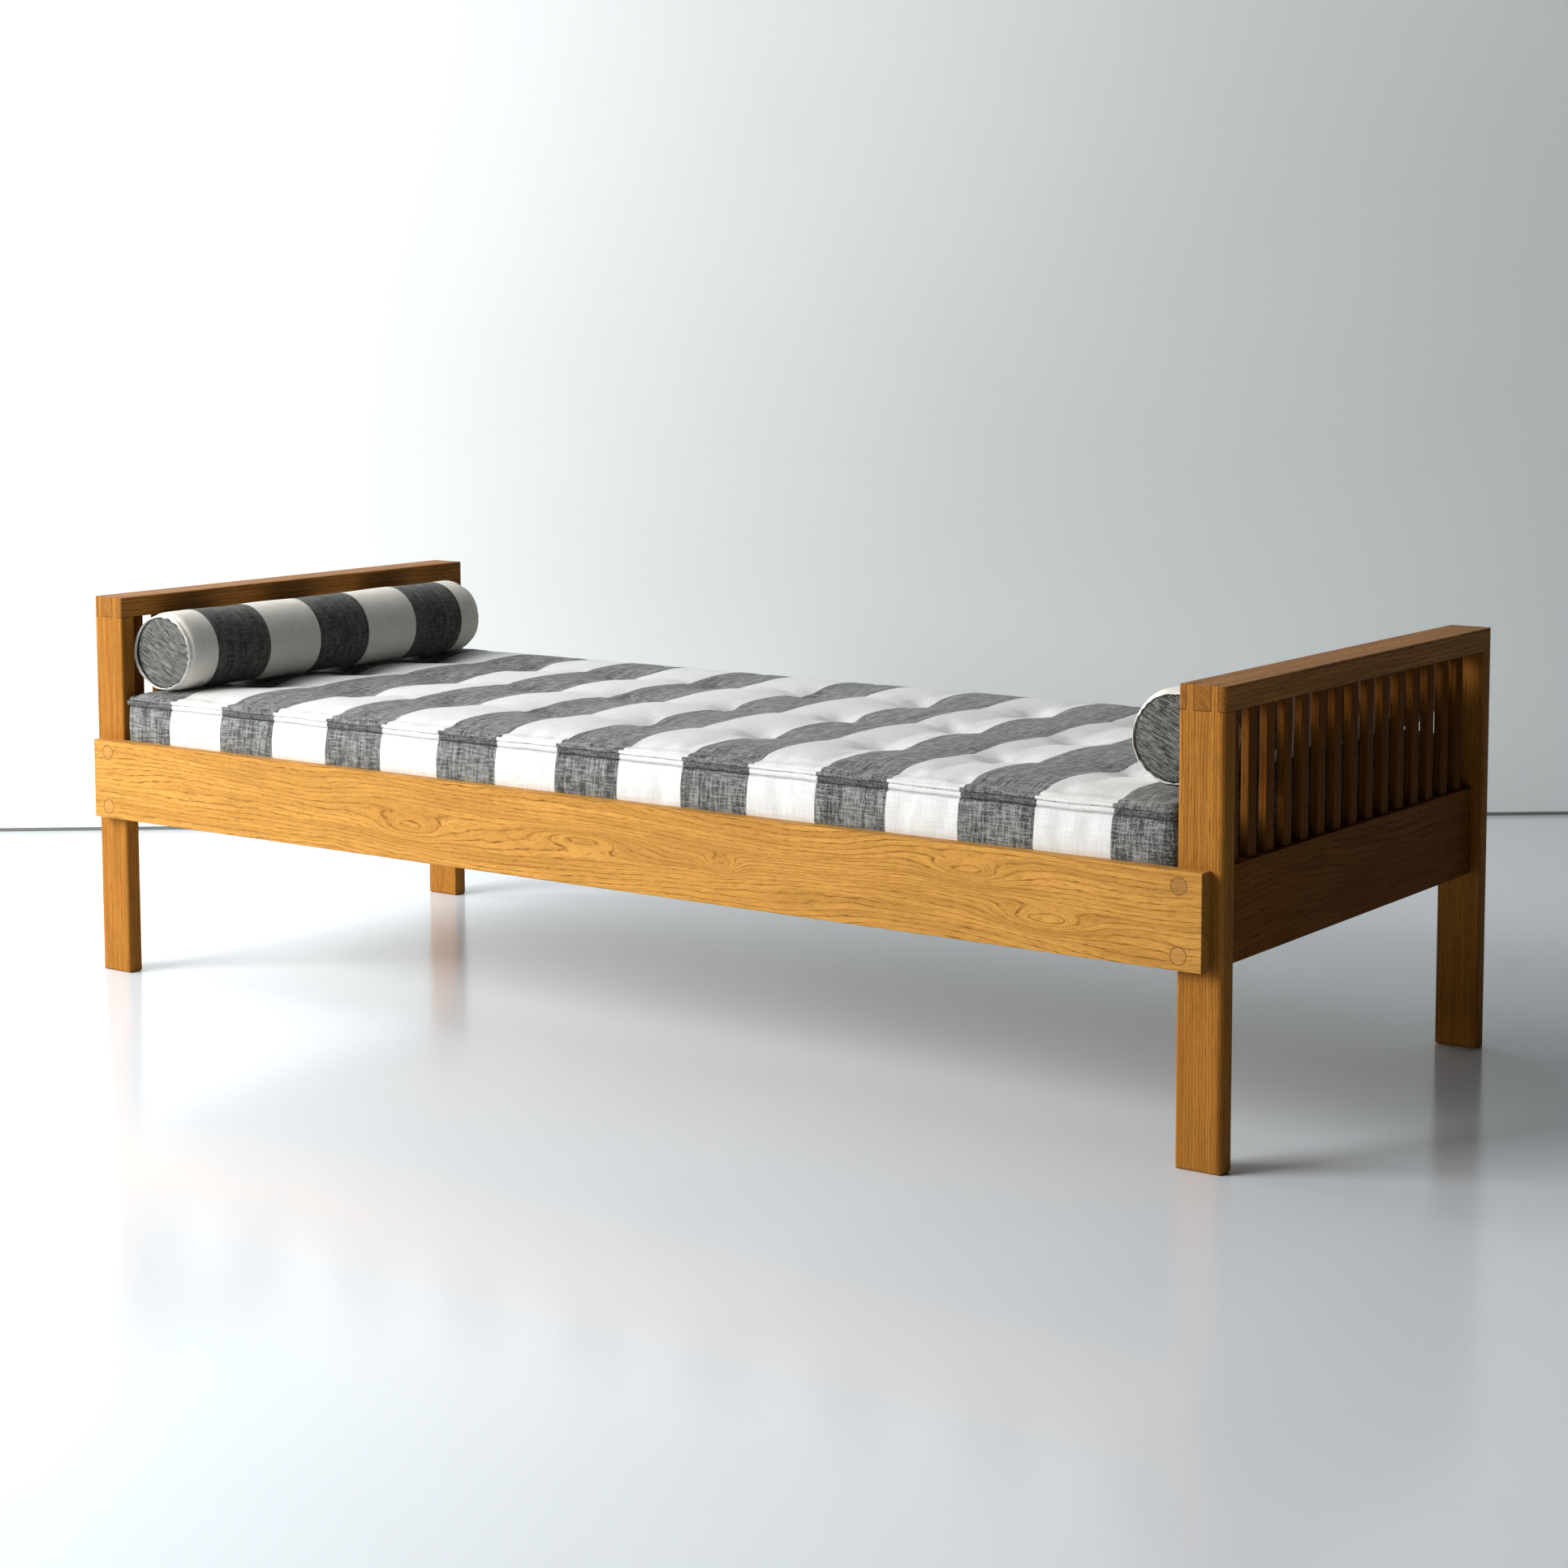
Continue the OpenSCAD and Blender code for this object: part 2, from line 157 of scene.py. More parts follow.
class Graph:
    """A material's node tree, with a Principled shader."""

    def __init__(self, name, roughness=0.5, sheen=0.0, specular=0.5):
        self.material = bpy.data.materials.new(name)
        self.material.use_nodes = True
        self.tree = self.material.node_tree
        self.shader = self.tree.nodes["Principled BSDF"]
        self.set("Roughness", roughness)
        self.set("Sheen Weight", sheen)
        self.set("Specular IOR Level", specular)

    def add(self, kind, settings=(), values=(), out=0):
        """Adds a node. Settings are its properties, values its sockets' numbers or wires."""
        node = self.tree.nodes.new(kind)
        for key, value in dict(settings).items():
            setattr(node, key, value)
        for key, value in dict(values).items():
            if isinstance(value, Wire):
                self.tree.links.new(value.socket, node.inputs[key])
            else:
                node.inputs[key].default_value = value
        return Wire(self, node.outputs[out])

    def set(self, name, value):
        if isinstance(value, Wire):
            self.tree.links.new(value.socket, self.shader.inputs[name])
        else:
            self.shader.inputs[name].default_value = value

    def place(self):
        """Object coordinates in millimetres, as three wires."""
        where = self.add("ShaderNodeTexCoord", out="Object")
        parts = self.add("ShaderNodeSeparateXYZ", values={0: where})
        names = ("X", "Y", "Z")
        return [Wire(self, parts.socket.node.outputs[n]) * 1000.0 for n in names]

    def cloth_place(self):
        """The piece's own cloth coordinates in millimetres, across and along the stripes."""
        where = self.add("ShaderNodeUVMap", {"uv_map": "cloth"})
        parts = self.add("ShaderNodeSeparateXYZ", values={0: where})
        return [Wire(self, parts.socket.node.outputs[n]) * 1000.0 for n in ("X", "Y")]

    def vector(self, x, y, z=0.0):
        return self.add("ShaderNodeCombineXYZ", values={0: x, 1: y, 2: z})

    def noise(self, vector, detail=2.0, roughness=0.5):
        values = {"Vector": vector, "Scale": 1.0, "Detail": detail, "Roughness": roughness}
        return self.add("ShaderNodeTexNoise", {}, values)

    def blend(self, factor, first, second):
        """Mixes two colours by a wire. Each is a wire or a tuple of three numbers."""
        node = self.tree.nodes.new("ShaderNodeMix")
        node.data_type = "RGBA"
        for key, value in {0: factor, 6: first, 7: second}.items():
            if isinstance(value, Wire):
                self.tree.links.new(value.socket, node.inputs[key])
            else:
                node.inputs[key].default_value = (*value, 1.0)
        return Wire(self, node.outputs[2])

    def bump(self, height, distance, strength=1.0):
        values = {"Height": height, "Distance": distance * MM, "Strength": strength}
        self.set("Normal", self.add("ShaderNodeBump", {}, values))


# ---- Wood ----

def oak(name, grain, ends, light, dark, gap, swirl, seed, marks=None, knots=(), soft=0.30,
        roughness=0.45, bold=0.72, specular=0.16):
    """Oiled oak. grain names the axis along the board, then the wide and the thin way.

    ends are the places along the board where it is sawn off and shows end grain, gap is the
    spacing of the growth rings, swirl how far they wander, soft how wide their dark side is
    and bold how dark.
    """
    g = Graph(name, specular=specular)
    x, y, z = g.place()
    axes = {"x": x, "y": y, "z": z}
    along, wide, thin = (axes[letter] for letter in grain)
    shifted = along + seed * 313.0

    # Growth rings: lines that run along the board and swirl where the wood does
    bend = g.noise(g.vector(shifted * 0.0022, wide * 0.011, thin * 0.011), detail=1.0, roughness=0.4)
    waver = g.noise(g.vector(shifted * 0.012, wide * 0.04, thin * 0.04), detail=3.0, roughness=0.6)
    rings = wide * (1.0 / gap) + thin * (0.8 / gap) + bend * swirl + waver * 1.4
    for place, height, length, depth, lift in knots:
        reach = ((along - place) / length) ** 2.0 + ((wide - height) / depth) ** 2.0
        rings = rings + (reach * -1.0).math("EXPONENT") * lift
    turn = rings.fract()
    early = turn.fade(0.0, soft, 1.0, 0.0).high(turn.fade(0.93, 1.0))

    # Pores: short dark dashes that follow the rings, crowded where each ring starts
    slant = (wide - thin) * 0.16
    dashes = g.noise(g.vector(shifted * 0.045, rings * 6.0, slant), detail=3.0, roughness=0.7)
    flecks = g.noise(g.vector(shifted * 0.070, wide * 1.0, thin * 1.0), detail=2.0, roughness=0.6)
    streak = g.noise(g.vector(shifted * 0.005, rings * 0.8, wide * 0.02), detail=3.0)
    cloud = g.noise(g.vector(shifted * 0.003, wide * 0.012, thin * 0.012), detail=2.0)
    line = early * dashes.fade(0.36, 0.56, 0.35, 1.0)
    pores = dashes.fade(0.51, 0.62) * (early * 0.60 + 0.40) + flecks.fade(0.54, 0.66) * 0.40

    middle = tuple(0.66 * a + 0.34 * b for a, b in zip(light, dark))
    colour = g.blend(streak.fade(0.36, 0.66), light, middle)
    colour = g.blend(line * bold, colour, dark)
    colour = g.blend((pores * bold).low(1.0), colour, tuple(0.50 * c for c in dark))
    sawn = (along - ends[0]).abs().low((along - ends[1]).abs()).fade(0.3, 0.9, 1.0, 0.0)
    rays = g.noise(g.vector(wide * 0.16, thin * 1.0), detail=2.0)
    colour = g.blend(sawn * rays.fade(0.35, 0.6, 0.55, 0.25), colour, dark)
    colour = g.blend(cloud.fade(0.35, 0.7, 0.0, 0.30), colour, tuple(0.78 * c for c in middle))
    height = pores * -1.0 - line * 0.4
    if marks:
        mark = marks(g, x, y, z)
        colour = g.blend(mark * 0.70, colour, tuple(0.35 * c for c in dark))
        height = height - mark * 2.0
    g.set("Base Color", colour)
    g.set("Roughness", pores * 0.15 + streak * 0.12 + (roughness - 0.05))
    g.bump(height, 0.12, 0.6)
    return g.material


def plug_rings(g, x, y, z):
    """The thin line round each flush plug, and the one plug that is cut from darker oak."""
    across = (plugs_high[0] - PLUG_RADIUS) - x.abs()
    middle = (plugs_low[2] + plugs_high[2]) / 2
    reach = (plugs_high[2] - plugs_low[2]) / 2 - PLUG_RADIUS
    up = (z - middle).abs() - reach
    radius = (across * across + up * up) ** 0.5
    line = (radius - PLUG_RADIUS).abs().fade(0.4, 1.0, 1.0, 0.0)
    front = y.fade(-1.0, 0.0, 1.0, 0.0) * x.fade(0.0, 1.0) * (z - middle).fade(0.0, 1.0)
    return line.high(front * radius.fade(PLUG_RADIUS - 0.5, PLUG_RADIUS, 0.5, 0.0))


def corner_joint_lines(g, x, y, z):
    """The glue lines between the fingers of a post and a top rail."""
    inner = top_rail_low[0]
    width = top_rail_high[0] - inner
    finger, middle = 10.0, 23.0
    outer = (width - middle - 2 * finger) / 2
    # Distance from the middle of the joint makes the two halves one
    off = (x.abs() - (inner + width / 2)).abs()
    edges = ((off - middle / 2).abs()).low((off - (width / 2 - outer)).abs())
    upright = edges.fade(0.35, 0.9, 1.0, 0.0) * z.fade(top_rail_low[2] - 0.6, top_rail_low[2] + 0.2)
    past_finger = off.fade(width / 2 - outer - 0.3, width / 2 - outer)
    rail_part = off.fade(middle / 2, middle / 2 + 0.3, 1.0, 0.0).high(past_finger)
    flat = (z - top_rail_low[2]).abs().fade(0.35, 0.9, 1.0, 0.0) * rail_part
    return upright.high(flat)


HONEY = (0.598, 0.300, 0.067)
HONEY_DARK = (0.235, 0.092, 0.014)
AMBER = (0.440, 0.182, 0.030)
AMBER_DARK = (0.130, 0.044, 0.007)
BROWN = (0.235, 0.082, 0.010)
BROWN_DARK = (0.080, 0.024, 0.003)
# The slats' oak is the end boards' brown made darker: painted shade for the shadow on and between the
# slats
SLAT_BROWN_PAINTED_SHADE = (0.190, 0.070, 0.012)
BASE = (0.520, 0.320, 0.140)
BASE_DARK = (0.260, 0.130, 0.045)
# Each knot: place along, height, length, depth, and how many rings it lifts
RAIL_KNOTS = (
    (761.0, 291.0, 70.0, 15.0, 5.0),
    (650.0, 341.0, 60.0, 14.0, 3.5),
    (259.0, 307.0, 26.0, 12.0, 4.5),
    (20.0, 318.0, 90.0, 12.0, -3.0),
    (-310.0, 300.0, 70.0, 22.0, 3.0),
)


def make_wood_materials():
    rail_ends = (rail_low[0], rail_high[0])
    bed_ends = (top_rail_low[1], top_rail_high[1])
    post_ends = (post_low[2], post_high[2])
    return {
        "side_rail": oak("side rail oak", "xzy", rail_ends, HONEY, HONEY_DARK, 6.8, 11.0, 1.0,
                         plug_rings, RAIL_KNOTS, soft=0.26, bold=0.77, specular=0.04),
        "post": oak("post oak", "zxy", post_ends, AMBER, AMBER_DARK, 4.4, 2.4, 2.0,
                    corner_joint_lines, soft=0.5, bold=0.54, specular=0.04),
        "top_rail": oak("top rail oak", "yxz", bed_ends, AMBER, AMBER_DARK, 5.0, 2.4, 3.0,
                        corner_joint_lines, soft=0.5, bold=0.62, specular=0.08),
        "board": oak("end board oak", "yzx", bed_ends, BROWN, BROWN_DARK, 8.0, 7.0, 4.0, specular=0.03),
        # The slats take the darker brown: painted shade
        "slat": oak("end slat oak", "zyx", post_ends, SLAT_BROWN_PAINTED_SHADE, BROWN_DARK, 5.0, 1.4, 5.0,
                    specular=0.02),
        "plug": oak("plug oak", "xzy", rail_ends, HONEY, HONEY_DARK, 3.4, 2.0, 6.0, plug_rings),
        "base": oak("base hardwood", "yxz", bed_ends, BASE, BASE_DARK, 12.0, 3.0, 7.0, roughness=0.6),
        "ledger": oak("ledger hardwood", "xzy", rail_ends, BASE, BASE_DARK, 12.0, 3.0, 8.0,
                      roughness=0.6),
    }


# ---- Cloth ----

CHARCOAL_DARK = (0.008, 0.009, 0.008)
CHARCOAL_PALE = (0.325, 0.336, 0.325)
CAP_PALE = (0.340, 0.350, 0.330)
WELT_CHARCOAL = (0.190, 0.197, 0.190)
# The roll's charcoal is the mattress's charcoal made darker: painted shade for the roll's unlit side
ROLL_CHARCOAL_PAINTED_SHADE = (0.150, 0.153, 0.135)
PALE = (0.700, 0.702, 0.694)
PALE_SHADE = (0.500, 0.500, 0.490)
# The roll's white is the mattress's white made warmer and lighter: painted warm bounce light from the
# wood
ROLL_WHITE_PAINTED_BOUNCE = (0.765, 0.735, 0.670)
ROLL_SLUB_PAINTED_BOUNCE = (0.550, 0.520, 0.460)


def melange(g, across, along, pale=CHARCOAL_PALE):
    """Charcoal twill of dark and pale slub yarns, and its height."""
    warp = g.noise(g.vector(across * 0.34, along * 0.035), detail=3.0, roughness=0.7)
    weft = g.noise(g.vector(across * 0.035, along * 0.34, 7.0), detail=3.0, roughness=0.7)
    speckle = g.noise(g.vector(across * 0.55, along * 0.55, 3.0), detail=3.0, roughness=0.8)
    twill = ((across * 0.5 + along) * (math.tau / 2.4)).sin() * 0.5 + 0.5
    streak = g.noise(g.vector(across * 0.10, along * 0.006, 23.0), detail=2.0, roughness=0.6)
    yarn = warp.fade(0.46, 0.58) * 0.5 + weft.fade(0.46, 0.58) * 0.5
    shade = yarn * 0.80 + speckle.fade(0.45, 0.56) * 0.52 + twill * 0.34
    shade = shade + streak.fade(0.35, 0.65) * 0.24 - 0.40
    return g.blend(shade.low(1.0).high(0.0), CHARCOAL_DARK, pale), yarn + twill * 0.8


def plain_cloth(g, across, along, light=PALE, shade=PALE_SHADE):
    """Off-white slub cloth, and its height."""
    warp = g.noise(g.vector(across * 0.6, along * 0.03, 11.0), detail=2.0, roughness=0.6)
    weft = g.noise(g.vector(across * 0.03, along * 0.6, 13.0), detail=2.0, roughness=0.6)
    yarn = warp * 0.55 + weft * 0.45
    return g.blend(yarn.fade(0.38, 0.56, 0.50, 0.0), light, shade), yarn * 2.0


def weave_height(across, along):
    """The over and under of single yarns."""
    pitch = math.tau / 1.5
    return (across * pitch).sin() * (along * pitch).sin()


def striped_cloth(name, stripe_axis, offset, band, charcoal=CHARCOAL_PALE, light=PALE, shade=PALE_SHADE):
    """Cloth with bands across stripe_axis: a pale band starts at offset."""
    g = Graph(name, roughness=0.9, sheen=0.12, specular=0.12)
    g.set("Sheen Roughness", 0.5)
    across, along = g.cloth_place()
    axis = g.place()["xyz".index(stripe_axis)]
    fray = g.noise(g.vector(axis * 0.02, along * 0.55, 17.0), detail=2.0) - 0.5
    turn = ((axis - offset + fray * 0.4) / (2.0 * band)).fract()
    edge = 0.6 / band
    pale = turn.fade(0.0, edge).low(turn.fade(0.5 - edge / 2, 0.5 + edge / 2, 1.0, 0.0))
    dark_colour, dark_height = melange(g, across, along, charcoal)
    pale_colour, pale_height = plain_cloth(g, across, along, light, shade)
    g.set("Base Color", g.blend(pale, dark_colour, pale_colour))
    height = dark_height * (1.0 - pale) + pale_height * pale + weave_height(across, along) * 0.6
    g.bump(height, 0.22, 0.55)
    return g.material


def cap_cloth(name):
    """The bolster caps' twill, with pale flecks and a shadow just inside the seam."""
    g = Graph(name, roughness=0.95, specular=0.05)
    x, y, z = g.place()
    waver = g.noise(g.vector(x * 0.03, y * 0.03, z * 0.03), detail=2.0)
    twill = ((x * 0.42 + z * 0.91 + waver * 3.0) * (math.tau / 2.8)).sin() * 0.5 + 0.5
    specks = g.vector(x * 0.10 - z * 0.03, x * 0.14 + z * 0.30, y * 0.05)
    fleck = g.noise(specks, detail=4.0, roughness=0.85)
    slub = g.noise(g.vector(x * 0.036 - z * 0.017, x * 0.15 + z * 0.32, 5.0), detail=3.0, roughness=0.7)
    shade = twill * 0.50 + fleck.fade(0.42, 0.58) * 0.30 + slub.fade(0.38, 0.62) * 0.30 - 0.25
    middle = (bolster_low + bolster_high) * 0.5
    off = x.abs() - abs(middle[0])
    up = z - middle[2]
    # Painted shadow: the cap darkens to near black in a ring just inside the seam
    seam = ((off * off + up * up) ** 0.5).fade(53.5, 56.5, 1.0, 0.05)
    g.set("Base Color", g.blend(shade.low(1.0).high(0.0) * seam, CHARCOAL_DARK, CAP_PALE))
    g.bump(twill + fleck, 0.30, 0.6)
    return g.material


def thread(name, colour):
    """Twisted sewing thread."""
    g = Graph(name, roughness=0.6, sheen=0.3, specular=0.3)
    x, y, z = g.place()
    twist = ((x + y * 0.8 + z * 1.3) * (math.tau / 0.9)).sin() * 0.5 + 0.5
    g.set("Base Color", g.blend(twist * 0.5, colour, tuple(0.55 * c for c in colour)))
    g.bump(twist, 0.05)
    return g.material


def striped_thread(name, offset, band):
    """Sewing thread that is dark on the dark stripes and pale on the pale ones."""
    g = Graph(name, roughness=0.6, specular=0.3)
    x, y, z = g.place()
    turn = ((x - offset) / (2.0 * band)).fract()
    twist = ((x + y * 0.8 + z * 1.3) * (math.tau / 0.9)).sin() * 0.5 + 0.5
    colour = g.blend(turn.math("LESS_THAN", 0.5), (0.012, 0.013, 0.012), (0.68, 0.68, 0.67))
    g.set("Base Color", g.blend(twist * 0.12, colour, (0.02, 0.02, 0.02)))
    g.bump(twist, 0.05)
    return g.material


def brushed_steel():
    g = Graph("zinc plated steel", specular=0.5)
    g.set("Metallic", 1.0)
    x, y, z = g.place()
    lines = g.noise(g.vector(x * 0.3, y * 3.0, z * 0.3), detail=3.0)
    g.set("Base Color", g.blend(lines.fade(0.3, 0.7), (0.52, 0.53, 0.55), (0.70, 0.71, 0.72)))
    g.set("Roughness", lines * 0.25 + 0.22)
    g.bump(lines, 0.02)
    return g.material


def soft_fill(name, light, dark, grain):
    """Foam or wadding, with open cells of the size grain."""
    g = Graph(name, roughness=0.95, sheen=0.1, specular=0.2)
    x, y, z = g.place()
    cells = g.add("ShaderNodeTexVoronoi", {}, {"Vector": g.vector(x, y, z), "Scale": 1.0 / grain})
    patch = g.noise(g.vector(x * 0.01, y * 0.01, z * 0.01), detail=3.0)
    g.set("Base Color", g.blend(cells.fade(0.1, 0.7) * 0.5 + patch * 0.4, light, dark))
    g.bump(cells, 0.5)
    return g.material


# ---- Meshes ----

def make_object(name, points, faces, materials, cloth=None):
    """A mesh object from points in millimetres. cloth gives each corner's cloth coordinates."""
    mesh = bpy.data.meshes.new(name)
    mesh.from_pydata((np.asarray(points) * MM).tolist(), [], faces)
    for material in materials:
        mesh.materials.append(material)
    if cloth is not None:
        layer = mesh.uv_layers.new(name="cloth")
        layer.data.foreach_set("uv", (np.asarray(cloth, dtype=np.float32) * MM).ravel())
    mesh.polygons.foreach_set("use_smooth", [True] * len(mesh.polygons))
    mesh.update()
    made = bpy.data.objects.new(name, mesh)
    bpy.context.scene.collection.objects.link(made)
    return made


def bake_modifiers(piece):
    """Replaces the piece's mesh by its evaluated one and drops the modifiers."""
    graph = bpy.context.evaluated_depsgraph_get()
    mesh = bpy.data.meshes.new_from_object(piece.evaluated_get(graph), depsgraph=graph)
    piece.modifiers.clear()
    old = piece.data
    piece.data = mesh
    bpy.data.meshes.remove(old)
    return piece


def points_of(piece):
    """The piece's points in millimetres."""
    flat = np.empty(3 * len(piece.data.vertices), dtype=np.float32)
    piece.data.vertices.foreach_get("co", flat)
    return flat.reshape(-1, 3).astype(float) / MM


def put_points(piece, points):
    piece.data.vertices.foreach_set("co", (points * MM).astype(np.float32).ravel())
    piece.data.update()


def waves(place, lengths, seed):
    """A smooth, repeatable wobble from about -1 to 1, made of sines of the given wavelengths."""
    random = np.random.default_rng(seed)
    total = np.zeros(np.shape(place)[0])
    for length in lengths:
        turns = random.normal(size=np.shape(place)[1])
        turns /= np.linalg.norm(turns)
        total += np.sin(place @ turns * math.tau / length + random.uniform(0, math.tau))
    return total / len(lengths)


def inflate(piece, held, pressure, frames, spare, reach):
    """Blows a sewn cover up by cloth simulation. held points stay, no point moves past reach."""
    start = points_of(piece)
    group = piece.vertex_groups.new(name="held")
    for weight in np.unique(held[held > 0]):
        group.add(np.flatnonzero(held == weight).tolist(), float(weight), "REPLACE")
    cloth = piece.modifiers.new("Cloth", "CLOTH")
    settings = cloth.settings
    settings.quality = 6
    settings.mass = 0.3
    settings.tension_stiffness = 18
    settings.compression_stiffness = 12
    settings.shear_stiffness = 6
    settings.bending_stiffness = 0.6
    settings.vertex_group_mass = "held"
    settings.use_pressure = True
    settings.uniform_pressure_force = pressure
    settings.shrink_min = -spare
    settings.effector_weights.gravity = 0
    cloth.point_cache.frame_start = 1
    cloth.point_cache.frame_end = frames
    for step in range(1, frames + 1):
        bpy.context.scene.frame_set(step)
    bake_modifiers(piece)
    bpy.context.scene.frame_set(1)
    piece.vertex_groups.clear()
    moved = points_of(piece) - start
    length = np.linalg.norm(moved, axis=1, keepdims=True)
    moved *= np.minimum(1.0, reach / np.maximum(length, 1e-9))
    put_points(piece, start + moved)


def refine(piece):
    """Subdivides a piece once, smoothly, and keeps the result."""
    smooth = piece.modifiers.new("Smooth", "SUBSURF")
    smooth.levels = smooth.render_levels = 1
    smooth.boundary_smooth = "ALL"
    smooth.uv_smooth = "NONE"
    return bake_modifiers(piece)


# ---- Mattress ----

def grid_lines(half, stops, step):
    """Grid lines from -half to half, about step apart, that pass through every stop."""
    knots = [-half, *stops, half]
    spans = [np.linspace(a, b, round((b - a) / step) + 1)[:-1] for a, b in zip(knots, knots[1:])]
    return np.concatenate([*spans, [half]])


def round_corners(xy, half_x, half_y, radius):
    """Moves points of a rectangle so that its corners are round."""
    xy = np.array(xy, dtype=float)
    past_x = np.maximum(np.abs(xy[:, 0]) - (half_x - radius), 0) / radius
    past_y = np.maximum(np.abs(xy[:, 1]) - (half_y - radius), 0) / radius
    both = (past_x > 0) & (past_y > 0)
    new_x = half_x - radius + radius * past_x * np.sqrt(1 - past_y**2 / 2)
    new_y = half_y - radius + radius * past_y * np.sqrt(1 - past_x**2 / 2)
    xy[both, 0] = (np.sign(xy[:, 0]) * new_x)[both]
    xy[both, 1] = (np.sign(xy[:, 1]) * new_y)[both]
    return xy


def arc_lengths(path):
    """The way gone at each point of a closed path, and at its end."""
    closed = np.vstack([path, path[:1]])
    return np.concatenate([[0], np.cumsum(np.linalg.norm(np.diff(closed, axis=0), axis=1))])


def top_height(x, y):
    """The mattress's top before it is blown up: a crown with a well at each tuft."""
    edge = np.minimum(HALF_LENGTH - np.abs(x), HALF_WIDTH - np.abs(y))
    crown = CROWN_HEIGHT * (1 - np.exp(-np.maximum(edge, 0) / CROWN_REACH))
    distance = np.hypot(x[:, None] - TUFTS[:, 0], y[:, None] - TUFTS[:, 1])
    wells = WELL_DEPTH * np.exp(-distance / WELL_REACH).sum(axis=1)
    return SEAM_Z + crown - wells


def mattress_shell():
    """A closed grid: top, boxing and underside. Gives points, faces, cloth corners and holds."""
    xs = grid_lines(HALF_LENGTH, TUFT_XS, GRID_STEP)
    ys = grid_lines(HALF_WIDTH, TUFT_YS, GRID_STEP)
    nx, ny = len(xs), len(ys)
    flat = np.array([(x, y) for x in xs for y in ys])
    number = np.arange(nx * ny).reshape(nx, ny)
    ring = np.concatenate([number[:-1, 0], number[-1, :-1], number[:0:-1, -1], number[0, :0:-1]])
    rounded = round_corners(flat, HALF_LENGTH, HALF_WIDTH, MATTRESS_CORNER)
    levels = np.linspace(SEAM_Z, mattress_low[2], BOXING_ROWS + 1)[1:]
    ring_xy = rounded[ring]

    points = [np.column_stack([rounded, top_height(*rounded.T)])]
    points[0][ring, 2] = SEAM_Z
    count = nx * ny
    row_numbers = [ring]
    for z in levels:
        points.append(np.column_stack([ring_xy, np.full(len(ring), z)]))
        row_numbers.append(np.arange(count, count + len(ring)))
        count += len(ring)
    inner = number[1:-1, 1:-1].ravel()
    under = np.full(nx * ny, -1)
    under[ring] = row_numbers[-1]
    under[inner] = np.arange(count, count + len(inner))
    points.append(np.column_stack([rounded[inner], np.full(len(inner), mattress_low[2])]))
    points = np.concatenate(points)

    # Arc length round the boxing gives its cloth coordinate
    arc = arc_lengths(ring_xy)
    faces, corners = [], []
    for i in range(nx - 1):
        for j in range(ny - 1):
            quad = [number[i, j], number[i + 1, j], number[i + 1, j + 1], number[i, j + 1]]
            faces.append([int(q) for q in quad])
            corners.extend(flat[q] for q in quad)
            faces.append([int(under[q]) for q in reversed(quad)])
            corners.extend(flat[q] for q in reversed(quad))
    heights = [SEAM_Z, *levels]
    size = len(ring)
    for row in range(BOXING_ROWS):
        upper, lower = row_numbers[row], row_numbers[row + 1]
        for k in range(size):
            following = (k + 1) % size
            faces.append([int(upper[k]), int(lower[k]), int(lower[following]), int(upper[following])])
            along = [(arc[k], heights[row]), (arc[k], heights[row + 1])]
            corners.extend([*along, (arc[k + 1], heights[row + 1]), (arc[k + 1], heights[row])])

    held = np.zeros(len(points))
    held[under] = 1.0
    held[ring] = 1.0
    near = np.hypot(points[:, None, 0] - TUFTS[:, 0], points[:, None, 1] - TUFTS[:, 1]).min(axis=1)
    held[(near < 3.0) & (points[:, 2] > SEAM_Z)] = 1.0
    return points, faces, corners, held


def below_bolsters(points):
    """Presses the top down where a bolster lies on it."""
    for end in ENDS:
        low, high = box_mm(f"{end}_bolster_cover")
        middle, radius = (low + high) / 2, (high[2] - low[2]) / 2
        off = points[:, 0] - middle[0]
        under = (np.abs(off) < radius) & (points[:, 2] > SEAM_Z - 20)
        under &= (points[:, 1] > low[1] - 6) & (points[:, 1] < high[1] + 6)
        belly = middle[2] - np.sqrt(np.maximum(radius**2 - off**2, 0))
        belly = np.maximum(belly, low[2] + BOLSTER_SAG) - 0.5
        points[under, 2] = np.minimum(points[under, 2], belly[under])
    return points


def keep_inside_frame(points):
    """Keeps the boxing clear of the side rails, the posts and the end boards."""
    middle, reach = (mattress_low[2] + SEAM_Z) / 2, (SEAM_Z - mattress_low[2]) / 2
    belly = BULGE_END * np.clip(1 - ((points[:, 2] - middle) / reach) ** 2, 0, 1)
    points[:, 0] += np.sign(points[:, 0]) * belly * (np.abs(points[:, 0]) > HALF_LENGTH - 12)
    high = points[:, 2] > rail_high[2] + 2.0
    limit_y = HALF_WIDTH + np.where(high, BULGE_ABOVE, BULGE_SIDE)
    points[:, 1] = np.clip(points[:, 1], -limit_y, limit_y)
    points[:, 0] = np.clip(points[:, 0], -HALF_LENGTH - BULGE_END, HALF_LENGTH + BULGE_END)
    points[:, 2] = np.maximum(points[:, 2], mattress_low[2])
    return points


def make_mattress(fabric):
    points, faces, corners, held = mattress_shell()
    mattress = make_object("mattress", points, faces, [fabric], corners)
    inflate(mattress, held, pressure=3.0, frames=18, spare=0.010, reach=24.0)
    refine(mattress)
    points = settle_top(points_of(mattress))
    points = below_bolsters(keep_inside_frame(points))
    put_points(mattress, points)
    return mattress


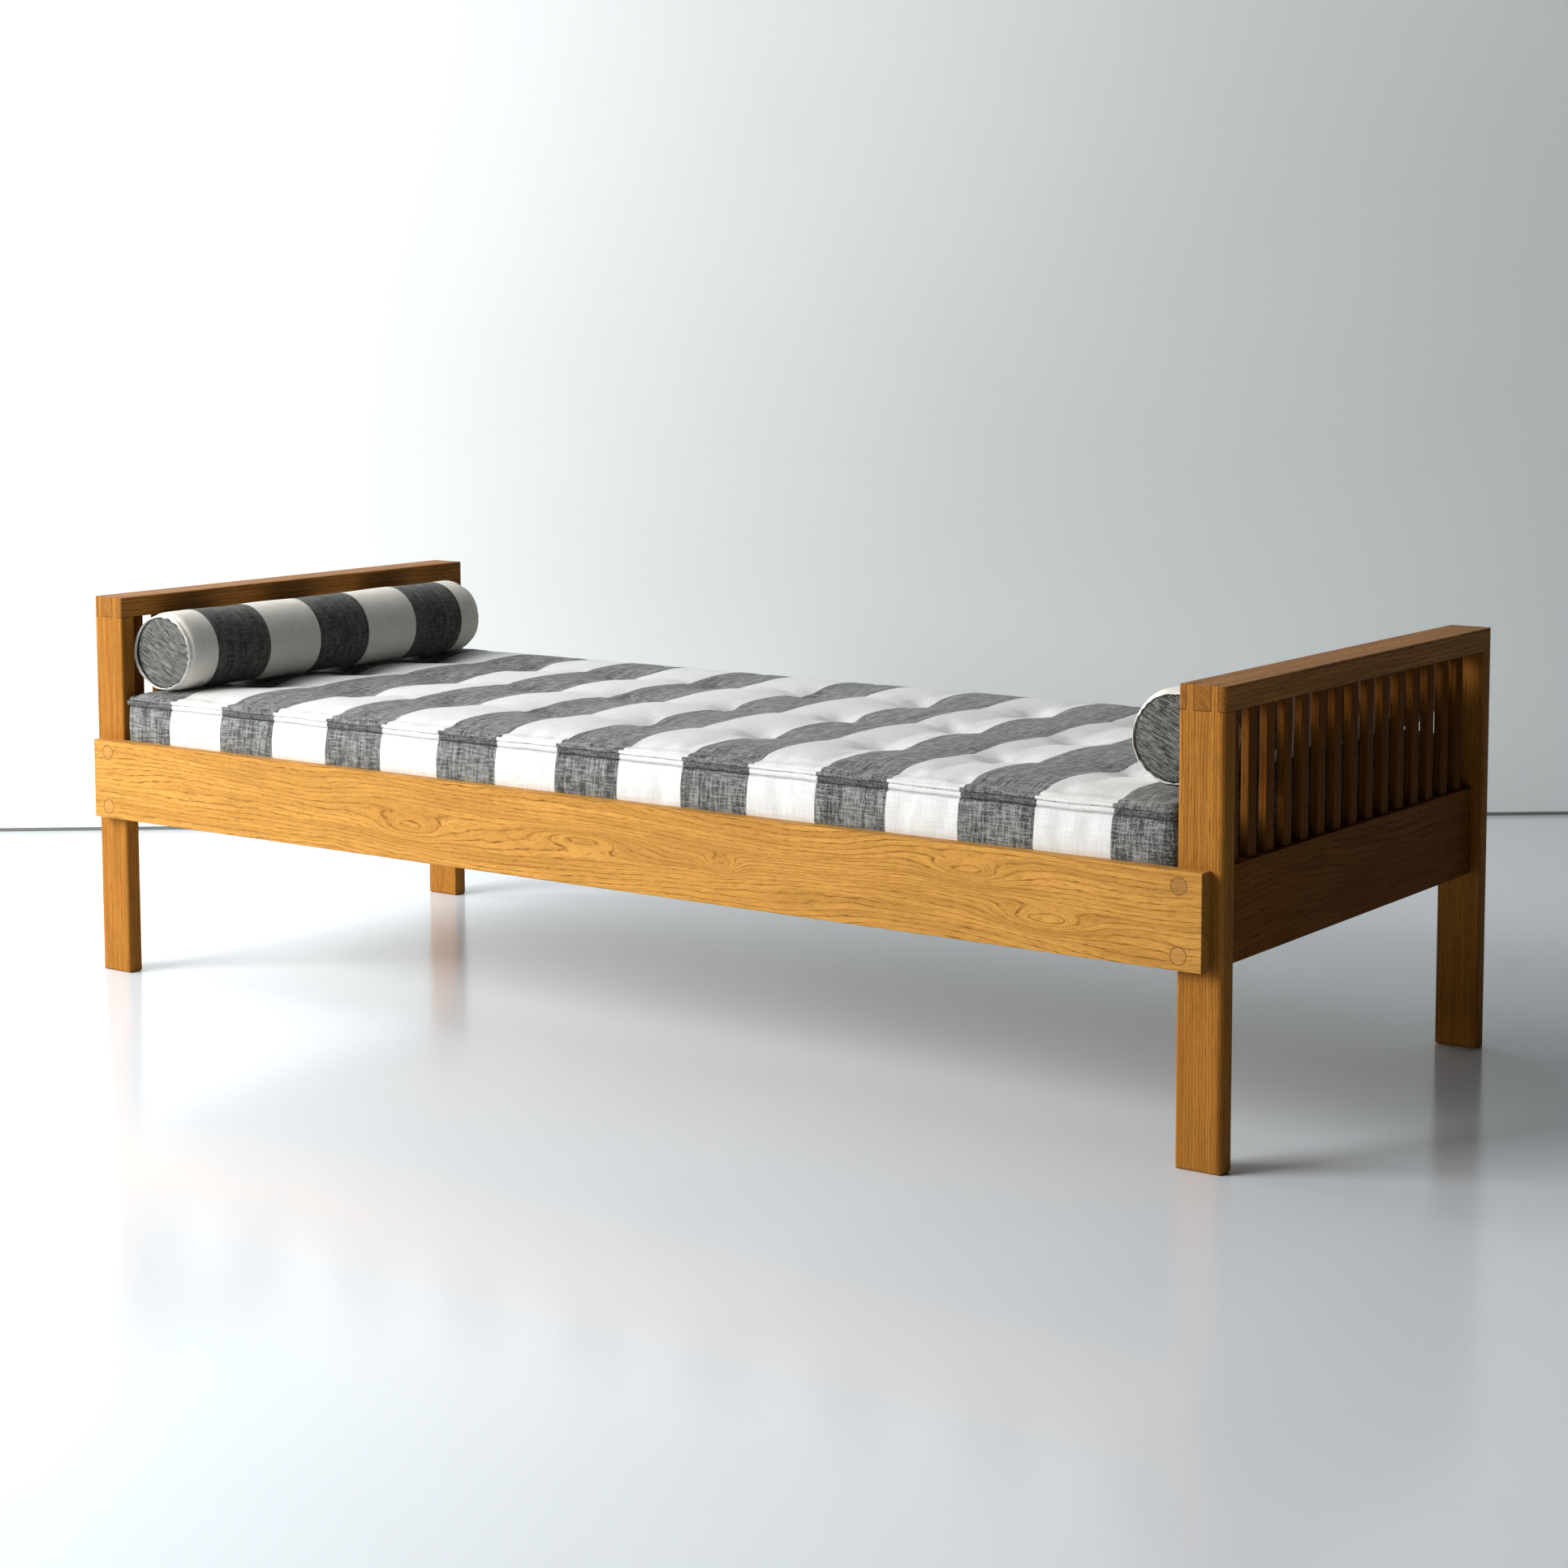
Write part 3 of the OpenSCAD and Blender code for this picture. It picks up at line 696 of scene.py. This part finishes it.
def settle_top(points):
    """Evens the blown-up top out to a used mattress's, with gathers at the seam and the tufts."""
    edge = np.minimum(HALF_LENGTH - np.abs(points[:, 0]), HALF_WIDTH - np.abs(points[:, 1]))
    on_top = points[:, 2] > SEAM_Z + 1
    z = np.interp(points[:, 2], [SEAM_Z, 443, 453, 465, 472], [SEAM_Z, 442, 451.5, 457.5, 459.5])
    shoulder = 7.0 * np.exp(-(((edge - 13.0) / 10.0) ** 2))
    near_edge = np.exp(-(((edge - 9.0) / 9.0) ** 2))
    z = z + shoulder + near_edge * 0.8 * waves(points[:, :2], (17.0, 23.0, 31.0, 47.0), 11)

    # Gathers round each tuft, the longest running along the diagonals
    offset = points[:, None, :2] - TUFTS
    distance = np.linalg.norm(offset, axis=2)
    nearest, near = distance.argmin(axis=1), distance.min(axis=1)
    own = offset[np.arange(len(points)), nearest]
    angle = np.arctan2(own[:, 1], own[:, 0])
    folds = np.sin(angle * 6 + nearest * 1.7) * np.exp(-(((near - 16.0) / 12.0) ** 2))
    long_fold = np.cos((angle - math.radians(130) - 0.3 * np.sin(nearest * 2.1)) / 2) ** 24
    z = z + folds * 0.9 - long_fold * 3.0 * np.exp(-(((near - 34.0) / 26.0) ** 2))
    z = np.maximum(z - 3.0 * np.exp(-near / 13.0), core_high[2] + 2.5)
    points[:, 2] = np.where(on_top, z, points[:, 2])
    return points


def outline_path(half_x, half_y, radius, step):
    """Points round a rectangle with round corners, anticlockwise, with the way outwards."""
    points, outwards = [], []
    centres = [(1, -1, -90), (1, 1, 0), (-1, 1, 90), (-1, -1, 180)]
    previous = None
    for sx, sy, start in centres:
        centre = np.array([sx * (half_x - radius), sy * (half_y - radius)])
        turns = [math.radians(start + 90 * k / 8) for k in range(9)]
        arc = [centre + radius * np.array([math.cos(t), math.sin(t)]) for t in turns]
        if previous is not None:
            points_between(points, outwards, previous, arc[0], turns[0], step)
        points.extend(arc)
        outwards.extend([(math.cos(t), math.sin(t)) for t in turns])
        previous = arc[-1]
    points_between(points, outwards, previous, points[0], math.radians(270), step)
    return np.array(points), np.array(outwards)


def points_between(points, outwards, start, end, turn, step):
    count = max(1, round(np.linalg.norm(end - start) / step))
    for k in range(1, count):
        points.append(start + (end - start) * k / count)
        outwards.append((math.cos(turn), math.sin(turn)))


def sweep_ring(name, path, outwards, section, material, wobble):
    """Sweeps a closed section of (out, up) points round a closed path."""
    count, sides = len(path), len(section)
    arc = arc_lengths(path)
    points = []
    for k in range(count):
        for out, up in section:
            grow = 1.0 + wobble[k]
            xy = path[k, :2] + outwards[k] * out * grow
            points.append((xy[0], xy[1], path[k, 2] + up * grow))
    faces, corners = [], []
    around = arc_lengths(section)
    for k in range(count):
        after = (k + 1) % count
        for s in range(sides):
            t = (s + 1) % sides
            faces.append([k * sides + s, after * sides + s, after * sides + t, k * sides + t])
            here, there = arc[k], arc[k + 1]
            corners.extend([(here, around[s]), (there, around[s])])
            corners.extend([(there, around[s + 1]), (here, around[s + 1])])
    return make_object(name, points, faces, [material], corners)


def make_welt(name, half_x, half_y, z, wide, tall, fabric):
    """The raised seam round the mattress: a roll of cloth nipped by its stitches."""
    path, outwards = outline_path(half_x, half_y, MATTRESS_CORNER, 3.2)
    path = np.column_stack([path, np.full(len(path), z)])
    wave = waves(path[:, :2], (40.0, 63.0, 90.0), 5)
    path[:, 2] += 0.7 * wave
    nips = 0.07 * np.cos(np.arange(len(path)) * math.pi)
    nips += 0.10 * waves(path[:, :2], (8.0, 13.0, 21.0), 8)
    turns = [math.tau * k / 12 for k in range(12)]
    section = np.array([(wide / 2 * math.cos(t), tall / 2 * math.sin(t)) for t in turns])
    section[:, 1] += 0.18 * section[:, 0]
    return sweep_ring(name, path, outwards, section, fabric, nips)


# ---- Stitches ----

def stitch_tree():
    """A node tree that lays thread stitches end to end along a curve."""
    tree = bpy.data.node_groups.new("stitches along a seam", "GeometryNodeTree")
    inputs = {"Geometry": "Geometry", "Pitch": "Float", "Stitch Length": "Float",
              "Thread Radius": "Float", "Thread": "Material"}
    for name, kind in inputs.items():
        tree.interface.new_socket(name, in_out="INPUT", socket_type="NodeSocket" + kind)
    tree.interface.new_socket("Geometry", in_out="OUTPUT", socket_type="NodeSocketGeometry")
    nodes = tree.nodes
    source, sink = nodes.new("NodeGroupInput"), nodes.new("NodeGroupOutput")
    resample = nodes.new("GeometryNodeResampleCurve")
    resample.mode = "LENGTH"
    capsule = nodes.new("GeometryNodeMeshUVSphere")
    capsule.inputs["Segments"].default_value = 6
    capsule.inputs["Rings"].default_value = 4
    capsule.inputs["Radius"].default_value = 1.0
    sizes = nodes.new("ShaderNodeCombineXYZ")
    place = nodes.new("GeometryNodeInstanceOnPoints")
    tangent = nodes.new("GeometryNodeInputTangent")
    turn = nodes.new("FunctionNodeAlignRotationToVector")
    turn.axis = "Z"
    half = nodes.new("ShaderNodeMath")
    half.operation = "MULTIPLY"
    half.inputs[1].default_value = 0.5
    real = nodes.new("GeometryNodeRealizeInstances")
    smooth = nodes.new("GeometryNodeSetShadeSmooth")
    colour = nodes.new("GeometryNodeSetMaterial")
    for start, out, end, into in (
        (source, "Geometry", resample, "Curve"),
        (source, "Pitch", resample, "Length"),
        (resample, "Curve", place, "Points"),
        (capsule, "Mesh", place, "Instance"),
        (tangent, "Tangent", turn, "Vector"),
        (turn, "Rotation", place, "Rotation"),
        (source, "Stitch Length", half, 0),
        (source, "Thread Radius", sizes, "X"),
        (source, "Thread Radius", sizes, "Y"),
        (half, 0, sizes, "Z"),
        (sizes, "Vector", place, "Scale"),
        (place, "Instances", real, "Geometry"),
        (real, "Geometry", smooth, "Geometry"),
        (smooth, "Geometry", colour, "Geometry"),
        (source, "Thread", colour, "Material"),
        (colour, "Geometry", sink, "Geometry"),
    ):
        tree.links.new(start.outputs[out], end.inputs[into])
    return tree


STITCHES = stitch_tree()


def stitch_row(name, path, material):
    """One piece of thread stitches along a closed path in millimetres."""
    curve = bpy.data.curves.new(name, "CURVE")
    curve.dimensions = "3D"
    spline = curve.splines.new("POLY")
    spline.points.add(len(path) - 1)
    spline.points.foreach_set("co", np.column_stack([path * MM, np.ones(len(path))]).ravel())
    spline.use_cyclic_u = True
    lay = bpy.data.objects.new(name + "_path", curve)
    bpy.context.scene.collection.objects.link(lay)
    modifier = lay.modifiers.new("Stitches", "NODES")
    modifier.node_group = STITCHES
    values = {"Pitch": STITCH_PITCH * MM, "Stitch Length": STITCH_LENGTH * MM,
              "Thread Radius": STITCH_RADIUS * MM, "Thread": material}
    for item in STITCHES.interface.items_tree:
        if item.item_type == "SOCKET" and item.in_out == "INPUT" and item.name in values:
            modifier[item.identifier] = values[item.name]
    graph = bpy.context.evaluated_depsgraph_get()
    mesh = bpy.data.meshes.new_from_object(lay.evaluated_get(graph), depsgraph=graph)
    made = bpy.data.objects.new(name, mesh)
    bpy.context.scene.collection.objects.link(made)
    bpy.data.objects.remove(lay)
    return made


def make_ties(mattress, cord):
    """A cord through the mattress at each tuft, ending in a small stitch in the top."""
    surface = points_of(mattress)
    surface = surface[surface[:, 2] > SEAM_Z]
    points, faces = [], []
    for x, y in TUFTS:
        near = np.hypot(surface[:, 0] - x, surface[:, 1] - y)
        top = surface[near.argmin(), 2]
        stitch = [(x - 3.5, y, top - 1.2), (x - 2, y, top + 0.1),
                  (x + 2, y, top + 0.1), (x + 3.5, y, top - 1.2)]
        shaft = [(x, y, mattress_low[2] + 1.0), (x, y, top - 0.8)]
        add_tube(points, faces, stitch, 0.55, (0, 0, 1))
        add_tube(points, faces, shaft, 1.0, (1, 0, 0))
    return make_object("mattress_tuft_ties", points, faces, [cord])


def add_tube(points, faces, path, radius, up):
    """Adds a capped six-sided tube along path to the lists."""
    sides = 6
    path, up = np.array(path, dtype=float), np.array(up, dtype=float)
    first = len(points)
    for k, place in enumerate(path):
        way = path[min(k + 1, len(path) - 1)] - path[max(k - 1, 0)]
        side = np.cross(way, up)
        side /= np.linalg.norm(side)
        over = np.cross(side, way / np.linalg.norm(way))
        for turn in np.arange(sides) * math.tau / sides:
            points.append(tuple(place + radius * (side * math.cos(turn) + over * math.sin(turn))))
    for k in range(len(path) - 1):
        a, b = first + k * sides, first + (k + 1) * sides
        for s in range(sides):
            t = (s + 1) % sides
            faces.append([a + s, a + t, b + t, b + s])
    last = first + (len(path) - 1) * sides
    faces.append(list(range(first + sides - 1, first - 1, -1)))
    faces.append(list(range(last, last + sides)))


# ---- Bolsters ----

def bolster_profile(radius, half):
    """(radius, place along, is it cap) from the middle of one cap to the middle of the other."""
    seam = radius - CAP_INSET
    cap = [(seam * t, -half + 2.4 - 1.6 * (1 - t * t), 1) for t in np.linspace(0, 1, 12)]
    nip = [(seam + 0.3, -half + 3.4, 1)]
    rim = [(seam + 0.6, -half + 1.4, 0), (seam + 1.1, -half + 0.3, 0), (seam + 1.8, -half, 0)]
    turns = [math.radians(a) for a in (20, 40, 60, 78, 90)]
    rise = radius - seam - 1.8
    shoulder = [(seam + 1.8 + rise * math.sin(a), -half + 10.0 * (1 - math.cos(a)), 0) for a in turns]
    straight = [(radius, y, 0) for y in np.linspace(-half + 18, 0, 36)]
    start = [*cap, *nip, *rim, *shoulder, *straight]
    return start + [(r, -y, kind) for r, y, kind in reversed(start[:-1])]


def make_bolster(end, fabrics):
    """A round bolster about the origin, blown up by simulation, then laid in its place."""
    low, high = box_mm(f"{end}_bolster_cover")
    middle, radius = (low + high) / 2, (high[2] - low[2]) / 2
    half = (high[1] - low[1]) / 2
    profile = bolster_profile(radius, half)
    lengths = np.cumsum([0, *(math.dist(a[:2], b[:2]) for a, b in zip(profile, profile[1:]))])
    sides = 96
    turns = np.arange(sides + 1) * math.tau / sides
    points = [(r * math.sin(t), y, r * math.cos(t)) for r, y, _ in profile[1:-1] for t in turns[:-1]]
    poles = [len(points), len(points) + 1]
    points += [(0, profile[0][1], 0), (0, profile[-1][1], 0)]
    rings = len(profile) - 2
    faces, corners, kinds = [], [], []
    for ring in range(rings - 1):
        kind = min(profile[ring + 1][2], profile[ring + 2][2])
        for side in range(sides):
            after = (side + 1) % sides
            a, b = ring * sides, (ring + 1) * sides
            faces.append([a + side, a + after, b + after, b + side])
            kinds.append(kind)
            steps = ((0, 0), (0, 1), (1, 1), (1, 0))
            wrap = [(lengths[ring + 1 + k], turns[side + j] * radius) for k, j in steps]
            corners += [points[v][::2] for v in faces[-1]] if kind else wrap
    for side in range(sides):
        after = (side + 1) % sides
        last = (rings - 1) * sides
        for face in ([poles[0], after, side], [poles[1], last + side, last + after]):
            faces.append(face)
            kinds.append(1)
            corners += [points[v][::2] for v in face]
    bolster = make_object(f"{end}_bolster", points, faces, list(fabrics), corners)
    bolster.data.polygons.foreach_set("material_index", kinds)
    points = np.array(points)
    nip = (np.hypot(points[:, 0], points[:, 2]) - radius + CAP_NIP).round(2) == 0
    inflate(bolster, nip.astype(float), pressure=1.2, frames=12, spare=0.006, reach=1.6)
    refine(bolster)
    return shape_bolster(bolster, points_of(bolster), middle, radius, half, end)


# How far off the roll's middle each end's caps are sewn, sideways and up
CAP_SHIFT = {"head": (-3.2, -0.7), "foot": (2.2, -1.2)}


def shape_bolster(bolster, points, middle, radius, half, end):
    """Gives the roll its lumps and gathers, lays it in place and flattens its underside."""
    seed = 21 + ENDS.index(end)
    distance = np.hypot(points[:, 0], points[:, 2])
    out = points[:, [0, 2]] / np.maximum(distance, 1e-6)[:, None]
    angle = np.arctan2(points[:, 0], points[:, 2])
    to_end = half - np.abs(points[:, 1])
    lumps = waves(np.column_stack([out * 60, points[:, 1]]), (110.0, 170.0, 260.0), seed)
    on_roll = np.clip((distance - radius * 0.85) / (radius * 0.08), 0, 1)
    at_seam = np.exp(-((to_end / 7.0) ** 2)) * on_roll
    points[:, 2] *= 1 - 0.05 * np.exp(-((to_end / 8.0) ** 2))
    gathers = np.sin(angle * 26 + 2.5 * np.sin(angle * 3 + seed)) * (0.6 + 0.4 * np.sin(angle * 5))
    uneven = np.sin(angle * 2 + seed) + 0.6 * np.sin(angle * 5 + 1)
    points[:, 0] += at_seam * CAP_SHIFT[end][0]
    points[:, 2] += at_seam * CAP_SHIFT[end][1]
    grow = on_roll * (lumps * np.clip(to_end / 20.0, 0, 1) - 0.8)
    grow += at_seam * (0.8 * gathers - 0.5 * uneven)
    crease = np.exp(-(((to_end - 7.5 - uneven) / 2.4) ** 2)) * on_roll
    grow -= crease * (0.9 + 0.7 * np.sin(angle))
    points[:, 0] += out[:, 0] * grow
    points[:, 2] += out[:, 1] * grow
    points[:, 1] -= np.sign(points[:, 1]) * at_seam * (0.6 + 0.5 * gathers + 0.5 * uneven)
    points += middle
    floor = middle[2] - radius + BOLSTER_SAG
    low = points[:, 2] < floor + 2.0
    points[low, 2] = floor + 1.3 + np.maximum(points[low, 2] - floor, -6.0) * 0.2
    put_points(bolster, points)
    return bolster


# ---- Studio ----

EYE = Vector((2.6795, -3.6351, 1.0637))
WALL_DISTANCE = 6.114
# The wall is not quite square to the view
WALL_TURN = 0.038
STAGE_REACH = 9000
WALL_HEIGHT = 6000
GAP_SHADOW_HEIGHT = 7


def make_camera():
    """Eye height about a metre, looking along the bed from its foot end's front corner."""
    turn, tilt, roll = -0.636, 0.1009, -0.0042
    forward = Vector((math.sin(turn) * math.cos(tilt), math.cos(turn) * math.cos(tilt), -math.sin(tilt)))
    right = Vector((math.cos(turn), -math.sin(turn), 0))
    up = right.cross(forward)
    right, up = (
        math.cos(roll) * right + math.sin(roll) * up,
        math.cos(roll) * up - math.sin(roll) * right,
    )
    data = bpy.data.cameras.new("camera")
    data.sensor_width = 36.0
    data.lens = 69.73
    data.shift_x, data.shift_y = 0.0225, -0.1133
    camera = bpy.data.objects.new("camera", data)
    camera.matrix_world = Matrix.Translation(EYE) @ Matrix((right, up, -forward)).transposed().to_4x4()
    bpy.context.scene.collection.objects.link(camera)
    bpy.context.scene.camera = camera
    return right, Vector((forward.x, forward.y, 0)).normalized()


def plain_surface(name, colour, roughness, mottle):
    g = Graph(name, roughness=roughness, specular=0.5)
    x, y, z = g.place()
    cloud = g.noise(g.vector(x * 0.0012, y * 0.0012, z * 0.0012), detail=3.0)
    darker = tuple(c * (1 - mottle) for c in colour)
    g.set("Base Color", g.blend(cloud.fade(0.3, 0.7), colour, darker))
    return g.material


def look_through_back(material):
    """Makes a wall one-sided, so that it hides nothing from behind."""
    nodes, links = material.node_tree.nodes, material.node_tree.links
    mix = nodes.new("ShaderNodeMixShader")
    links.new(nodes.new("ShaderNodeNewGeometry").outputs["Backfacing"], mix.inputs[0])
    links.new(nodes["Principled BSDF"].outputs[0], mix.inputs[1])
    links.new(nodes.new("ShaderNodeBsdfTransparent").outputs[0], mix.inputs[2])
    links.new(mix.outputs[0], nodes["Material Output"].inputs["Surface"])


def upright_strip(name, middle, side, height, material):
    """A one-sided upright rectangle on the floor, from middle - side to middle + side."""
    look_through_back(material)
    up = Vector((0, 0, height))
    corners = [middle - side, middle + side, middle + side + up, middle - side + up]
    return make_object(name, [tuple(c) for c in corners], [[0, 1, 2, 3]], [material])


def make_stage(right, forward):
    """A pale floor, a pale wall behind, and at the wall's foot a dark strip of painted shadow that
    stands for the gap there.
    """
    floor_paint = plain_surface("pale floor", (0.765, 0.815, 0.870), 0.16, 0.03)
    wall_paint = plain_surface("pale wall", (0.84, 0.877, 0.882), 0.9, 0.03)
    # Painted shadow: the dark paint of the strip at the wall's foot
    gap_shadow_paint = plain_surface("painted gap shadow", (0.20, 0.21, 0.20), 0.9, 0.2)
    reach = STAGE_REACH
    corners = [(-reach, -reach, 0), (reach, -reach, 0), (reach, reach, 0), (-reach, reach, 0)]
    floor = make_object("floor", corners, [[0, 1, 2, 3]], [floor_paint])
    foot = (Vector((EYE.x, EYE.y, 0)) + forward * WALL_DISTANCE) / MM
    side = (Vector((right.x, right.y, 0)).normalized() + forward * WALL_TURN) * STAGE_REACH
    wall = upright_strip("wall", foot, side, WALL_HEIGHT, wall_paint)
    # Painted shadow: a dark strip just before the wall's foot stands for the shade in the gap there
    gap = upright_strip("wall_foot_shadow", foot - forward, side, GAP_SHADOW_HEIGHT, gap_shadow_paint)


def area_light(name, place, target, size, power, colour):
    data = bpy.data.lights.new(name, "AREA")
    data.shape = "RECTANGLE"
    data.size, data.size_y = size
    data.energy = power
    data.color = colour
    light = bpy.data.objects.new(name, data)
    light.location = place
    way = Vector(target) - Vector(place)
    light.rotation_mode = "QUATERNION"
    light.rotation_quaternion = way.to_track_quat("-Z", "Y")
    bpy.context.scene.collection.objects.link(light)


def make_lights(right, forward):
    left = -Vector((right.x, right.y, 0)).normalized()
    window = left * 4.6 - forward * 1.6 + Vector((0, 0, 2.4))
    area_light("window", window, (0, 0, 0.4), (3.2, 2.4), 395.0, (1.0, 0.99, 0.97))
    ceiling = left * 2.3 + Vector((0, 0, 3.3))
    area_light("ceiling", ceiling, (0, 0, 0.3), (3.2, 3.2), 48.0, (0.97, 0.99, 1.0))
    wash = left * 3.4 + forward * 2.2 + Vector((0, 0, 1.8))
    washed = forward * 4.0 + Vector((0, 0, 1.0))
    area_light("wall wash", wash, washed, (2.0, 2.4), 150.0, (1.0, 1.0, 1.0))
    world = bpy.data.worlds.new("soft daylight")
    world.use_nodes = True
    world.node_tree.nodes["Background"].inputs["Color"].default_value = (1.0, 1.0, 1.0, 1.0)
    world.node_tree.nodes["Background"].inputs["Strength"].default_value = 0.03
    bpy.context.scene.world = world
    bpy.context.scene.view_settings.view_transform = "Standard"


# ---- Assembly ----

def paint(nodes, material):
    for name in nodes:
        piece = NODES[name]
        piece.data.materials.clear()
        piece.data.materials.append(material)


def paint_frame(wood, steel):
    paint([f"{s}_side_rail" for s in SIDES], wood["side_rail"])
    paint([f"{e}_{s}_post" for e in ENDS for s in SIDES], wood["post"])
    paint([f"{e}_top_rail" for e in ENDS], wood["top_rail"])
    paint([f"{e}_board" for e in ENDS], wood["board"])
    paint([n for n in NODES if "_slat_" in n and n.startswith(ENDS)], wood["slat"])
    paint(["bolt_plugs"], wood["plug"])
    paint(["bed_slats"], wood["base"])
    paint([f"{s}_ledger" for s in SIDES], wood["ledger"])
    paint(["rail_bolts", "bolt_washers", "bolt_inserts", "ledger_screws", "bed_slat_screws"], steel)


def ride_as(piece, body):
    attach(piece, body)


def make_soft_goods():
    seam_first_pale = MATTRESS_FIRST_PALE + WELT_STEP
    mattress_cloth = striped_cloth("mattress stripe", "x", MATTRESS_FIRST_PALE, MATTRESS_BAND)
    welt_cloth = striped_cloth(
        "mattress welt stripe", "x", seam_first_pale, MATTRESS_BAND, WELT_CHARCOAL)
    caps = cap_cloth("bolster cap cloth")
    seam_thread = striped_thread("seam thread", seam_first_pale, MATTRESS_BAND)
    pale_thread = thread("natural thread", (0.42, 0.38, 0.32))

    mattress = make_mattress(mattress_cloth)
    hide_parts("mattress_cover", "mattress_wadding")
    ride_as(mattress, "mattress")
    welt_z = SEAM_Z + 0.5 * WELT_TALL
    low_z = mattress_low[2] + 4.2
    top_welt = make_welt("mattress_top_welt", HALF_LENGTH - 1.8, HALF_WIDTH + 0.5, welt_z,
                         7.0, WELT_TALL, welt_cloth)
    edge_roll = make_welt("mattress_edge_roll", HALF_LENGTH - 4.2, HALF_WIDTH - 2.6, welt_z + 6.0,
                          7.0, 6.4, mattress_cloth)
    low_welt = make_welt("mattress_lower_welt", HALF_LENGTH - 1.0, HALF_WIDTH - 1.0, low_z,
                         6.0, 7.0, welt_cloth)
    for welt in (top_welt, edge_roll, low_welt):
        ride_as(welt, "mattress")
    path, _ = outline_path(HALF_LENGTH + 0.2, HALF_WIDTH + 2.0, MATTRESS_CORNER, 8.0)
    row = np.column_stack([path, np.full(len(path), SEAM_Z - 0.2)])
    stitches = stitch_row("mattress_seam_stitches", row, seam_thread)
    ride_as(stitches, "mattress")
    ties = make_ties(mattress, pale_thread)
    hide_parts("mattress_ties")
    ride_as(ties, "mattress")

    for end in ENDS:
        low, _ = box_mm(f"{end}_bolster_cover")
        first_pale = low[1] + BOLSTER_NEAR_BAND + BOLSTER_BAND
        # The roll's cloth takes a darker charcoal as painted shade and a warmer, lighter white as
        # painted bounce light
        cloth = striped_cloth(f"{end} bolster stripe", "y", first_pale, BOLSTER_BAND, ROLL_CHARCOAL_PAINTED_SHADE,
                              ROLL_WHITE_PAINTED_BOUNCE, ROLL_SLUB_PAINTED_BOUNCE)
        bolster = make_bolster(end, (cloth, caps))
        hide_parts(f"{end}_bolster_cover")
        ride_as(bolster, f"{end}_bolster")


def main():
    right, forward = make_camera()
    make_stage(right, forward)
    make_lights(right, forward)
    steel = brushed_steel()
    paint_frame(make_wood_materials(), steel)
    make_soft_goods()
    paint(["mattress_core", "head_bolster_core", "foot_bolster_core"],
          soft_fill("foam", (0.86, 0.80, 0.55), (0.74, 0.66, 0.42), 1.6))


main()
